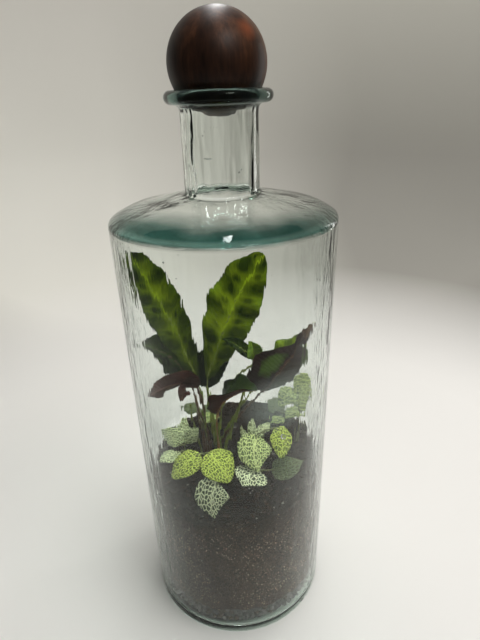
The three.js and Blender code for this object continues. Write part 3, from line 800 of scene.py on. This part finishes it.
def patterned_leaf(name, lime, green, dark, pairs, glow=0.3, roughness=0.36, foot_shade=0.3):
    """The upper side of a rattlesnake-plant leaf."""
    leaf = Finish(name)
    along, across, side = blade_axes(leaf)
    pace = leaf.scaled(leaf.scaled(across, -0.08, along), pairs, leaf.times(side, 0.5))
    large = oval_mask(leaf, pace, across, 0.0, 0.55, 0.36, 0.46, 0.45)
    small = oval_mask(leaf, pace, across, 0.5, 0.42, 0.16, 0.22, 0.6)
    patches = leaf.ramp(leaf.cloud(48.0, 3.0), 0.38, 0.6)
    feather = leaf.compute("SINE", leaf.times(pace, 2 * math.pi * 5))
    feather = leaf.scaled(feather, 0.12, leaf.ramp(across, 0.25, 0.95), clamp=True)
    feather = leaf.larger(feather, leaf.times(patches, 0.7))
    blotch = leaf.times(leaf.larger(large, small), leaf.scaled(patches, 0.4, 0.55), clamp=True)
    coloured = leaf.mix(blotch, leaf.mix(feather, lime, green), dark)
    coloured = leaf.mix(leaf.ramp(across, 0.9, 1.0, 0.0, 0.6), coloured, dark)
    coloured = leaf.mix(leaf.ramp(across, 0.02, 0.06, 0.7, 0.0), coloured, tinted(lime, 1.3))
    at_foot = leaf.ramp(along, 0.05, 0.55, 1 - foot_shade, 0.0)
    return leaf_surface(leaf, leaf.mix(at_foot, coloured, tinted(dark, 0.5)), feather, roughness, glow)


def maroon_leaf(name, maroon, pale, lit=()):
    """The underside of a rattlesnake-plant leaf: maroon, with paler ribs. Where light comes through it is green."""
    leaf = Finish(name)
    along, across, side = blade_axes(leaf)
    signed = leaf.times(across, leaf.scaled(side, 2.0, -1.0))
    ribs = leaf.compute("SINE", leaf.times(leaf.scaled(across, -0.09, along), 2 * math.pi * 24))
    cloud = leaf.cloud(130.0, 4.0)
    share = leaf.scaled(ribs, 0.02, leaf.compute("SUBTRACT", cloud, 0.2), clamp=True)
    coloured = leaf.mix(share, maroon, pale)
    for centre, aside, length, breadth, amount, colour in lit:
        far = oval_distance(leaf, (along, centre, length), (signed, aside, breadth))
        coloured = leaf.mix(leaf.ramp(leaf.uneven(far, cloud, 0.9), 0.6, 1.1, amount, 0.0), coloured, colour)
    coloured = leaf.mix(leaf.ramp(across, 0.02, 0.07, 0.8, 0.0), coloured, tinted(pale, 2.6))
    return leaf_surface(leaf, coloured, leaf.times(ribs, 0.3), 0.42, 0.22)


def stalk_material(name, low, high):
    """A leaf stalk, streaked along its length."""
    stalk = Finish(name)
    streak = stalk.cloud(700.0, 3.0, stalk.mapped((1, 1, 0.08)))
    look = {"Base Color": stalk.mix(streak, low, high), "Roughness": 0.45, "Specular IOR Level": plant_gloss}
    stalk.surface(look, streak, 0.3, 0.0004)
    return stalk.material


# Three copies of one leaf pattern with light and shade painted into their colours: a lit one, a shaded one, and the
# darkest one, in deep painted shade, for the remaining leaves.
lit_leaf = patterned_leaf("rattlesnake_leaf_lit", (0.4, 0.52, 0.016), (0.17, 0.25, 0.012), (0.02, 0.038, 0.004), 5.5)
shaded_leaf = patterned_leaf("rattlesnake_leaf_shaded", (0.24, 0.32, 0.01), (0.055, 0.09, 0.006), (0.01, 0.02, 0.003), 5.5)
deep = patterned_leaf(
    "rattlesnake_leaf_deep_shade", (0.035, 0.06, 0.007), (0.013, 0.025, 0.004), (0.005, 0.009, 0.003), 5.0, 0.15, 0.26, 0.6,
)
young = patterned_leaf("rattlesnake_leaf_young", (0.4, 0.56, 0.06), (0.24, 0.38, 0.04), (0.1, 0.17, 0.02), 5.0, 0.4)
underside = maroon_leaf("rattlesnake_underside", (0.035, 0.01, 0.007), (0.12, 0.035, 0.022))
lit_patches = [
    (0.42, 0.4, 0.2, 0.32, 0.9, (0.08, 0.14, 0.016)), (0.6, -0.97, 0.24, 0.16, 0.8, (0.07, 0.12, 0.015)),
    (1.0, 0.0, 0.17, 1.2, 0.8, (0.2, 0.11, 0.06)),
]
folded_underside = maroon_leaf(
    "rattlesnake_folded_underside", (0.014, 0.006, 0.0045), (0.06, 0.024, 0.017), lit_patches,
)
green_stalk = stalk_material("green_stalk", (0.08, 0.1, 0.018), (0.25, 0.29, 0.06))
maroon_stalk = stalk_material("maroon_stalk", (0.045, 0.024, 0.015), (0.14, 0.08, 0.045))
dry_stalk = stalk_material("dry_stalk", (0.12, 0.06, 0.02), (0.4, 0.22, 0.08))

usual_leaf = dict(
    finish=deep, below=underside, stalk=green_stalk, shape=lance_shape, way=(), fold=0.2, waves=2, frill=0.05, pairs=8,
    quilt=0.25,
)
tall_leaves = [
    dict(
        node="leaf_tall_left", finish=shaded_leaf, shape=strap_shape, root=(-21, 5.5),
        way=[(-25, 5.5, 168)], base=(-27, 6, 205), bend=(-48.5, 7, 268), tip=(-70.5, -4, 325),
        width=32, face=(0.35, -0.85, 0.3), fold=0.18, wave=2.2, waves=5.5, phase=0.4, turn=0.3,
    ),
    dict(
        node="leaf_tall_centre", finish=lit_leaf, shape=strap_shape, root=(-16.5, 11),
        way=[(-18.4, 12, 176)], base=(-20.5, 13, 203.5), bend=(1, 18, 262), tip=(29, 14, 314),
        width=43, face=(-0.25, -0.9, 0.3), wave=2.3, waves=4.5, phase=2, turn=-0.4,
    ),
    dict(
        node="leaf_low_left", stalk=maroon_stalk, root=(-22.5, 9.5),
        base=(-34.4, 14, 197), bend=(-53, 13.5, 228), tip=(-70, -6, 249),
        width=30, face=(0.35, -0.5, 0.75), fold=0.25, wave=1.5, waves=3, phase=1,
    ),
    dict(
        node="leaf_maroon_left", stalk=maroon_stalk, root=(-20, -0.5),
        base=(-27.5, -6, 209), bend=(-42, -21.5, 223), tip=(-59.5, -37, 223),
        width=31, face=(0.2, 0.85, 0.15), fold=0.15, wave=0.7, frill=0.015,
    ),
    dict(
        node="leaf_hanging_left", stalk=maroon_stalk, root=(-25, 1.5),
        base=(-31, -13, 214), bend=(-35.5, -18, 216), tip=(-40, -22, 207),
        width=13, face=(0.2, 0.7, 0.4), wave=0.6,
    ),
    dict(
        node="leaf_big_right", finish=lit_leaf, stalk=maroon_stalk, shape=beaked_shape, root=(-12, 7.5),
        base=(26, -6, 203.6), bend=(43.5, -17, 236), tip=(62.5, -23, 273), below=folded_underside,
        width=46, face=(-0.1, 0.85, 0.45), fold=0.25, wave=1.8, waves=2.5, phase=0.5,
    ),
    dict(
        node="leaf_behind_right", finish=lit_leaf, root=(-11, 13.5),
        base=(26.4, 13, 203.6), bend=(47.5, 21, 219), tip=(65, 22, 239),
        width=30, face=(-0.4, -0.5, 0.75), wave=1.6, waves=3, phase=1.4,
    ),
    dict(
        node="leaf_narrow_centre", root=(-12.5, 3),
        way=[(-9, 2.5, 180), (4, 2, 212)], base=(20.8, 2, 228.3), bend=(8.4, 1.5, 241), tip=(-5, 0, 250),
        width=11, face=(0.2, -0.6, 0.75), fold=0.4, wave=0.6,
    ),
    dict(
        node="leaf_young_right", finish=young, root=(-7.5, 2),
        way=[(8, -2, 192)], base=(19.4, -4, 233), bend=(18.5, -7, 243), tip=(15.8, -8, 251),
        width=12, face=(0.2, -0.9, 0.3), fold=0.8, wave=0.4,
    ),
    dict(
        node="leaf_dark_centre", root=(-19, 16),
        base=(-22.5, 24, 188.6), bend=(-18.5, 29, 211), tip=(-10.5, 35, 233),
        width=29, face=(0, -0.85, 0.5), wave=1,
    ),
    dict(
        node="leaf_centre_right", stalk=dry_stalk, root=(-14, -2.5),
        base=(-13, -8.5, 184), bend=(0.5, -18, 208), tip=(21.5, -26, 217.5),
        width=29, face=(-0.2, 0.1, 0.95), fold=0.7, wave=1.5, waves=2.5, phase=1,
    ),
]


def stem_foot(root):
    """Where a stem stands: its foot in the soil and its collar just above it."""
    x, y = (place * mm for place in root)
    ground = soil_top(x, y)
    return [Vector((x, y, ground - root_depth)), Vector((x, y, ground + collar_rise))]


for leaf in tall_leaves:
    leaf = {**usual_leaf, **leaf, "rib": Midrib(leaf["base"], leaf["bend"], leaf["tip"])}
    finishes = (leaf["finish"], leaf["below"])
    piece = blade(leaf["node"] + "_blade", leaf, blade_rows, blade_columns, leaf_thickness, finishes)
    places = stem_foot(leaf["root"]) + [Vector(place) * mm for place in leaf["way"]]
    radii = [stalk_radius, stalk_radius] + [stalk_radius * 0.9] * len(leaf["way"])
    for u in along_rib:
        sink = blade_point(leaf, u, 0)
        below = (blade_point(leaf, u, 0.05) - sink).cross(leaf["rib"].direction(u)).normalized()
        places.append(sink - below * 0.45 * mm)
        radii.append(stalk_tip_radius * (1 - 0.85 * u))
    stalk = stem(leaf["node"] + "_stalk", places, radii)
    stalk.data.materials.append(leaf["stalk"])
    join_pieces(piece, [stalk])
    finish_piece(piece, leaf["node"])

spear_places = stem_foot((-30, 5)) + [Vector((-34, -2, 165)) * mm, Vector((-35, -8, 194)) * mm]
spear = stem("shoot_left_spear", spear_places, [1.7 * mm, 1.7 * mm, 1.3 * mm, 0.5 * mm])
spear.data.materials.append(green_stalk)
finish_piece(spear, "shoot_left")


# The low plants are nerve plants: thin creeping stems with paired oval leaves, each covered by a raised net of pale
# veins. The front ones lie against the glass.
net_leaf_thickness = 0.45 * mm
net_stem_radius = 1.1 * mm
net_stem_tip_radius = 0.8 * mm
net_stalk_radius = 0.6 * mm
net_rows, net_columns = 28, 16


def net_leaf(name, cell, vein, solid, amount=1.0, cells=4.6):
    """The upper side of a nerve-plant leaf: a raised net of pale veins in two sizes over darker cells."""
    leaf = Finish(name)
    across = blade_axes(leaf)[1]
    measured = leaf.add("ShaderNodeUVMap", uv_map="measured").outputs[0]
    stray = leaf.add("ShaderNodeTexNoise", {"Vector": measured, "Scale": 3.0, "Detail": 2.0}).outputs["Color"]
    sway = {0: stray, 1: (0.16, 0.16, 0.16), 2: measured}
    bent = leaf.add("ShaderNodeVectorMath", sway, operation="MULTIPLY_ADD").outputs[0]
    drawn = leaf.mapped((1.25, 0.72, 1), bent)
    veins = []
    for scale, wide in ((cells, 0.19), (cells * 2.1, 0.12)):
        spots = {"Vector": drawn, "Scale": scale, "Randomness": 0.95}
        net = leaf.add("ShaderNodeTexVoronoi", spots, feature="DISTANCE_TO_EDGE", voronoi_dimensions="2D")
        veins.append(leaf.ramp(net.outputs["Distance"], wide * 0.3, wide, 1.0, 0.0))
    midrib = leaf.ramp(across, 0.02, 0.07, 0.8, 0.0)
    net_share = leaf.larger(leaf.larger(veins[0], leaf.times(veins[1], 0.3)), midrib)
    full = leaf.times(leaf.ramp(leaf.cloud(1.3, 1.0, measured), 0.4, 0.62), solid)
    share = leaf.times(leaf.larger(net_share, full), amount, clamp=True)
    return leaf_surface(leaf, leaf.mix(share, cell, vein), net_share, 0.5, 0.3)


lime_net = net_leaf("nerve_leaf_lime", (0.04, 0.065, 0.006), (0.66, 0.74, 0.16), 0.3)
pale_net = net_leaf("nerve_leaf_pale", (0.04, 0.07, 0.012), (0.74, 0.8, 0.36), 0.12)
white_net = net_leaf("nerve_leaf_white", (0.015, 0.028, 0.006), (0.88, 0.9, 0.6), 0.04, cells=3.8)
plain_net = net_leaf("nerve_leaf_plain", (0.08, 0.1, 0.045), (0.24, 0.28, 0.14), 0.2, 0.7, cells=4.4)
climbing_net = net_leaf("nerve_leaf_climbing", (0.05, 0.085, 0.015), (0.6, 0.68, 0.26), 0.25)
hazy_net = net_leaf("nerve_leaf_hazy", (0.12, 0.17, 0.05), (0.95, 1.0, 0.6), 0.5)
net_underside = stalk_material("nerve_underside", (0.2, 0.26, 0.12), (0.3, 0.36, 0.18))
net_stem = stalk_material("nerve_stem", (0.1, 0.11, 0.04), (0.26, 0.27, 0.12))

net_sprigs = [
    dict(
        node="fittonia_front_left", root=(-17, -30), way=[(-20, -37, 160), (-23, -43, 172)],
        leaves=[
            (1, (-26, -46, 174.5), (-36, -53, 171), (-46, -57, 161.6), 20, (-0.2, -0.5, 0.8), lime_net),
            (1, (-19, -47, 176), (-10, -57, 173), (-2.4, -63, 161), 27, (0.2, -0.5, 0.8), lime_net),
            (0.75, (-11, -63.5, 161), (-16.5, -69, 150.5), (-14.8, -71, 133), 26, (0, -0.95, 0.3), white_net),
        ],
    ),
    dict(
        node="fittonia_left", root=(-38, -6), way=[(-42, -8, 145), (-44, -9, 152)],
        leaves=[
            (1, (-46, -10, 154), (-53, -8, 162), (-60, -6, 168), 16, (-0.2, -0.7, 0.6), hazy_net),
            (1, (-41, -11, 155.5), (-35, -13, 166), (-28.5, -14, 174), 12, (0.2, -0.8, 0.5), hazy_net),
            (1, (-44, -6, 154), (-45, 3, 160), (-43, 11, 167), 14, (0, -0.4, 0.9), hazy_net),
            (0.7, (-46, -14, 149), (-54, -22, 152.5), (-61.3, -27, 151), 15, (-0.2, -0.3, 0.9), hazy_net),
        ],
    ),
    dict(
        node="fittonia_front_right", root=(22, -22), way=[(23, -28, 165), (26, -32, 184)],
        leaves=[
            (1, (19, -38, 184), (16.4, -51, 178.5), (19, -60, 166.7), 26, (0, -0.7, 0.7), pale_net),
            (1, (34, -35, 188), (37.7, -44, 183.3), (36, -51, 172), 18, (0.2, -0.8, 0.6), lime_net),
        ],
    ),
    dict(
        node="fittonia_low_right", root=(22, -36), way=[(22, -40, 148), (23, -43, 153)],
        leaves=[
            (1, (18.5, -50, 161), (12, -61, 165), (7.3, -68, 161), 27, (-0.1, -0.4, 0.9), white_net),
            (1, (30, -44, 154), (42, -46, 158.5), (54, -44.5, 163), 18, (0.1, -0.6, 0.8), plain_net),
        ],
    ),
    dict(
        node="fittonia_tall_right", root=(58, 8), way=[(59, 6, 160), (57.5, 4.5, 190), (56.5, 4.5, 207)],
        leaves=[
            (1, (57.5, 2.5, 213), (60, -2, 199), (57.5, -8, 181), 16, (0.1, -0.9, 0.35), climbing_net),
            (0.66, (52, 1, 199.5), (46.5, -4, 196), (40, -8, 188), 16, (-0.1, -0.7, 0.7), climbing_net),
            (0.66, (59.5, 8, 193), (62, 13, 196), (61, 21, 192), 13, (0.2, 0.2, 0.95), climbing_net),
            (0.45, (60, 13, 172), (59, 22, 176), (54, 30, 174), 14, (0, 0.4, 0.9), climbing_net),
        ],
    ),
    dict(
        node="fittonia_centre", root=(14, -6), way=[(14, -8, 146), (14.5, -8, 156)],
        leaves=[
            (1, (16, -9, 160), (16.5, -6, 167), (16.8, -3, 174), 7, (0, -0.9, 0.4), hazy_net),
            (0.9, (11, -10, 158), (8, -9.5, 165), (6.3, -8, 171), 6, (-0.2, -0.9, 0.4), hazy_net),
            (0.9, (19, -7, 157), (26, -4, 163), (32, 1, 166), 9, (0.2, -0.8, 0.6), hazy_net),
        ],
    ),
    dict(
        node="fittonia_back_right", root=(44, 34), way=[(45, 34, 146), (46, 34, 151)],
        leaves=[
            (1, (43, 36, 152.5), (37, 41, 157), (30, 46, 157), 17, (0, -0.2, 0.95), plain_net),
            (1, (50, 33, 152.5), (57, 29, 156), (65, 25, 153), 17, (0, -0.2, 0.95), climbing_net),
            (0.8, (44, 30, 150), (40, 22, 154), (34, 15, 154), 15, (0, -0.1, 0.98), climbing_net),
            (0.8, (47, 39, 150), (45, 48, 154), (40, 57, 153), 16, (0, 0.2, 0.95), plain_net),
        ],
    ),
    dict(
        node="fittonia_back_left", root=(-30, 36), way=[(-31, 37, 142), (-33, 38, 149)],
        leaves=[
            (1, (-36, 40, 151), (-44, 46, 155), (-52, 49, 151), 18, (-0.1, 0.2, 0.95), plain_net),
            (1, (-30, 35, 151), (-23, 30.5, 153), (-14, 29.5, 151), 16, (0.1, -0.2, 0.95), climbing_net),
            (0.8, (-29, 42, 147), (-22, 50, 150), (-15, 58, 146), 18, (0.1, 0.3, 0.95), plain_net),
        ],
    ),
]


def along_path(places, share):
    """A point at a share of the pieces of a broken line."""
    spot = share * (len(places) - 1)
    first = min(int(spot), len(places) - 2)
    return places[first].lerp(places[first + 1], spot - first)


pointed = (white_net, pale_net, plain_net, climbing_net, hazy_net)
for sprig in net_sprigs:
    places = stem_foot(sprig["root"]) + [Vector(place) * mm for place in sprig["way"]]
    radii = [net_stem_radius, net_stem_radius] + [net_stem_tip_radius] * len(sprig["way"])
    main = stem(sprig["node"] + "_stem", places, radii)
    main.data.materials.append(net_stem)
    parts = []
    for number, (start, base, bend, tip, width, face, finish) in enumerate(sprig["leaves"]):
        leaf = dict(
            rib=Midrib(base, bend, tip), shape=heart_shape if finish in pointed else oval_shape, width=width, face=face,
            dome=0.16, wave=0.3, waves=2, pairs=7, quilt=0.35, frill=0.012,
        )
        name = f"{sprig['node']}_leaf_{number}"
        part = blade(name, leaf, net_rows, net_columns, net_leaf_thickness, (finish, net_underside))
        joint = along_path(places[1:], start)
        foot = blade_point(leaf, 0.12, 0)
        middle = joint.lerp(blade_point(leaf, 0, 0), 0.5)
        stalk = stem("net_stalk", [joint, middle, blade_point(leaf, 0, 0), foot], [net_stalk_radius] * 4)
        stalk.data.materials.append(net_stem)
        parts += [part, stalk]
    join_pieces(main, parts)
    finish_piece(main, sprig["node"])


# Water has condensed inside the glass above the soil: a thin mist, thickest near the soil and at the back, with
# small drops in it, one large drop in front of a leaf, and a row of drops where the soil meets the glass.
mist_low = 122 * mm
mist_high = 300 * mm
mist_gap = 0.1 * mm
mist_thickness = 0.05 * mm
mist_rows = 60
mist_patches = [((33, -68, 234), 30, 0.55), ((-57, -48, 202), 25, 0.7), ((66, -36, 168), 20, 0.4)]
line_drop_count = 9
drop_count = 900
# In millimetres
lowest_drop, drop_spread = 140, 110
large_drop = (37.7, -66, 203.2, 2.0)

mist_outer = [(inner_radius(0), mist_low + (mist_high - mist_low) * i / mist_rows) for i in range(mist_rows + 1)]
mist_inner = [(inner_radius(0) - mist_thickness, height) for _, height in reversed(mist_outer)]
mist = spin_profile("condensation", mist_outer + mist_inner + mist_outer[:1], glass_sides)
for vertex in mist.data.vertices:
    x, y, z = vertex.co
    turn = math.atan2(y, x)
    gap = mist_gap if math.hypot(x, y) > inner_radius(0) - mist_thickness / 2 else mist_gap + mist_thickness
    vertex.co = point_at(turn, inner_reach(turn, z, gap), z)

# The mist's share of the surface: low down, behind and beside the plants, in patches, and never below the soil.
fog = Finish("mist")
cloud = fog.cloud(17.0, 3.0)
beside = fog.ramp(fog.compute("ABSOLUTE", fog.x), 0.055, 0.078)
amount = fog.larger(fog.ramp(fog.y, -0.055, 0.03), fog.times(beside, 0.8))
amount = fog.scaled(amount, 0.9, 0.1)
amount = fog.times(amount, fog.ramp(fog.z, 0.15, 0.27, 1.0, 0.0))
amount = fog.times(amount, fog.ramp(cloud, 0.3, 0.65))
for patch, reach, strength in mist_patches:
    ragged = fog.uneven(fog.distance(Vector(patch) * mm), cloud, 0.03)
    amount = fog.larger(amount, fog.ramp(ragged, 0.3 * reach * mm, reach * mm, strength, 0.0))
soil_line = fog.scaled(fog.y, soil_slope_y, fog.scaled(fog.x, soil_slope_x, soil_level))
amount = fog.times(amount, fog.ramp(fog.compute("SUBTRACT", fog.z, soil_line), 0.001, 0.016))
amount = fog.times(amount, fog.ramp(fog.cloud(900.0), 0.3, 0.7, 0.5, 1.0))
fog.surface({"Base Color": (0.8, 0.84, 0.82), "Roughness": 0.6})
clear = fog.add("ShaderNodeBsdfTransparent").outputs[0]
fog.end_in(fog.times(amount, 0.3), clear, fog.shader.outputs[0])
mist.data.materials.append(fog.material)
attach(mist, "root")

water = Finish("water_drops")
water.surface({"Roughness": 0.0, "IOR": 1.33, "Transmission Weight": 1.0}, water.cloud(400.0), 0.1, 0.0003)
drops = [large_drop]
for i in range(line_drop_count):
    share = i / (line_drop_count - 1)
    drops.append((31.2 + 20.2 * share, -69.3 + 13.3 * share, 127.5 + 4.1 * share, (0.35, 0.5, 0.3)[i % 3]))
draw = random.Random(31)
for i in range(drop_count):
    turn = draw.uniform(0, 2 * math.pi)
    height = lowest_drop + drop_spread * draw.random() ** 1.6
    front = max(-math.sin(turn), 0)
    if draw.random() < front:
        continue
    drops.append((math.cos(turn), math.sin(turn), height, draw.uniform(0.15, 0.42)))
laid = []
for x, y, height, size in drops:
    turn = math.atan2(y, x)
    depth = 0.95 if size > 1 else 0.5
    reach = inner_reach(turn, height * mm, mist_gap + mist_thickness + 0.02 * mm + depth * size * mm)
    flat = Matrix.Rotation(turn, 3, "Z")
    scale = (depth * size * mm, size * mm, 1.15 * size * mm)
    laid.append((point_at(turn, reach, height * mm), flat, scale, water.material))
water_drops = scatter("water_drops", pebble_shape(2), laid)
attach(water_drops, "root")


# The stopper is a ball of dark walnut, turned from one piece and oiled. It rests loose on the inside of the bead,
# with its grain upright and one reddish knot high on the right.
ball_radius = 31.4 * mm
rest_gap = 0.3 * mm
ball_reach = ball_radius + bead_tube + rest_gap
ball_height = bead_height + math.sqrt(ball_reach**2 - bead_radius**2)
ball_segments = 96
ball_rings = 48
oil_skin = 0.12 * mm
knot_centre = Vector((18.5, -19, 16.5)) * mm
wood_tones = [(0.38, (0.008, 0.0024, 0.0008)), (0.52, (0.032, 0.012, 0.005)), (0.68, (0.09, 0.035, 0.015))]
knot_colour = (0.16, 0.04, 0.012)

clear_selection()
bpy.ops.mesh.primitive_uv_sphere_add(
    segments=ball_segments, ring_count=ball_rings, radius=ball_radius, location=(0, 0, ball_height),
)
ball = bpy.context.object
ball.name = "wooden_ball"
bpy.ops.object.transform_apply(location=True, rotation=True, scale=True)
for vertex in ball.data.vertices:
    out = (vertex.co - Vector((0, 0, ball_height))).normalized()
    vertex.co -= out * oil_skin * (1 + noise.noise(out * 2.3))
bpy.ops.object.shade_smooth()

walnut = Finish("walnut")
centred = walnut.mapped((1, 1, 1), Location=(0, 0, -ball_height))
grain = walnut.cloud(420.0, 6.0, walnut.mapped((1, 1, 0.12), centred), Roughness=0.6)
figure = walnut.cloud(45.0, 3.0, walnut.mapped((1, 1, 0.5), centred), Distortion=0.6)
tone = walnut.add("ShaderNodeValToRGB", {"Fac": walnut.scaled(figure, 0.6, walnut.scaled(grain, 0.3, 0.07))})
stops = tone.color_ramp.elements
stops[0].position, stops[1].position = wood_tones[0][0], wood_tones[2][0]
stops.new(wood_tones[1][0])
for stop, (_, colour) in zip(stops, wood_tones):
    stop.color = (*colour, 1)
at_knot = walnut.ramp(walnut.distance(knot_centre, centred), 0.001, 0.008, 0.75, 0.0)
look = {"Base Color": walnut.mix(at_knot, tone.outputs["Color"], knot_colour), "Roughness": 0.46}
look["Specular IOR Level"] = 0.24
walnut.surface(look, grain, 0.12, 0.0004)
ball.data.materials.append(walnut.material)
finish_piece(ball, "ball_stopper")


# The studio: a sweep that curves up all round. It is pale behind the bottle, and dark grey at the sides and in front,
# where a pale wall would be mirrored all over the glass. Five soft lamps stand in for the light of a room.
flat_radius = 0.42
bend = 0.34
wall_height = 1.1
sweep_radius = flat_radius + bend
white_light = (1, 1, 1)
warm_light = (1, 0.98, 0.95)
lamps = [
    # Name, place, target, width, height, power, colour, and what the lamp is hidden from
    ("overhead_lamp", (0.15, 0.15, 1.6), (0, 0, 0.1), 1.0, 1.0, 14, warm_light, ["visible_glossy"]),
    ("key_lamp", (0.5, -0.32, 0.95), (0, 0, 0.1), 0.5, 0.5, 4.2, warm_light, ["visible_glossy"]),
    (
        "edge_lamp", (0.52, 0.37, 0.4), (0, 0, 0.2), 0.07, 0.46, 0.4, warm_light,
        ["visible_camera", "visible_transmission"],
    ),
    (
        "shoulder_lamp", (0.005, 0.385, 1.085), (0.005, -0.05, 0.36), 0.035, 0.84, 4, white_light,
        ["visible_diffuse"],
    ),
    (
        "front_lamp", (0.39, -0.62, 1.16), (0, 0, 0.4), 0.26, 0.26, 4.5, warm_light,
        ["visible_diffuse", "visible_camera"],
    ),
]

sweep = [(sweep_radius, wall_height)] + line((sweep_radius, wall_height), (sweep_radius, bend), 6)
sweep += arc(flat_radius, bend, bend, 0, -90, 14) + line((flat_radius, 0), (0, 0), 4) + [(0, 0)]
floor = spin_profile("studio_floor", sweep, 96)
pale = Finish("pale_floor")
shade = pale.scaled(pale.cloud(3.0, 1.0), 0.3, pale.ramp(pale.x, -0.25, 0.35), clamp=True)
low_wall = pale.mix(shade, (0.87, 0.86, 0.8), (0.34, 0.33, 0.3))
high_wall = pale.mix(shade, (0.55, 0.53, 0.49), (0.6, 0.59, 0.53))
wall_colour = pale.mix(pale.ramp(pale.z, 0.3, 0.7), low_wall, high_wall)
wall_colour = pale.mix(pale.ramp(pale.y, 0.5, 0.2), wall_colour, (0.1, 0.1, 0.1))
floor_colour = pale.mix(pale.ramp(pale.z, 0.0, 0.09), (0.84, 0.83, 0.81), wall_colour)
pale.surface({"Base Color": floor_colour, "Roughness": 0.8})
floor.data.materials.append(pale.material)
floor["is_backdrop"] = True

for name, place, target, width, height, power, colour, hidden in lamps:
    light = bpy.data.lights.new(name, "AREA")
    light.shape = "RECTANGLE"
    light.size = width
    light.size_y = height
    light.energy = power
    light.color = colour
    lamp = bpy.data.objects.new(name, light)
    lamp.location = place
    lamp.rotation_euler = (Vector(target) - Vector(place)).to_track_quat("-Z", "Y").to_euler()
    bpy.context.scene.collection.objects.link(lamp)
    for rays in hidden:
        setattr(lamp, rays, False)

world = bpy.data.worlds.new("studio_air")
bpy.context.scene.world = world
world.use_nodes = True
air = world.node_tree.nodes["Background"]
air.inputs["Color"].default_value = (0.9, 0.93, 0.95, 1)
air.inputs["Strength"].default_value = 0.16
bpy.context.scene.view_settings.view_transform = "Standard"
bpy.context.scene.cycles.max_bounces = 20
bpy.context.scene.cycles.transmission_bounces = 18
bpy.context.scene.cycles.transparent_max_bounces = 24


# The camera stands where the photograph was taken from, a little above the mouth and looking down.
camera_place = (9.083 * mm, -339.027 * mm, 427.65 * mm)
camera_dip = 25.595
camera_roll = -1.872
camera_data = bpy.data.cameras.new("camera")
camera_data.sensor_width = 36
camera_data.lens = 27.06
camera_data.clip_start = 0.01
camera = bpy.data.objects.new("camera", camera_data)
tilt = Euler((math.radians(90 - camera_dip), 0, 0)).to_matrix()
roll = Matrix.Rotation(math.radians(camera_roll), 3, "Z")
camera.location = camera_place
camera.rotation_euler = (tilt @ roll).to_euler()
bpy.context.scene.collection.objects.link(camera)
bpy.context.scene.camera = camera

low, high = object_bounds()
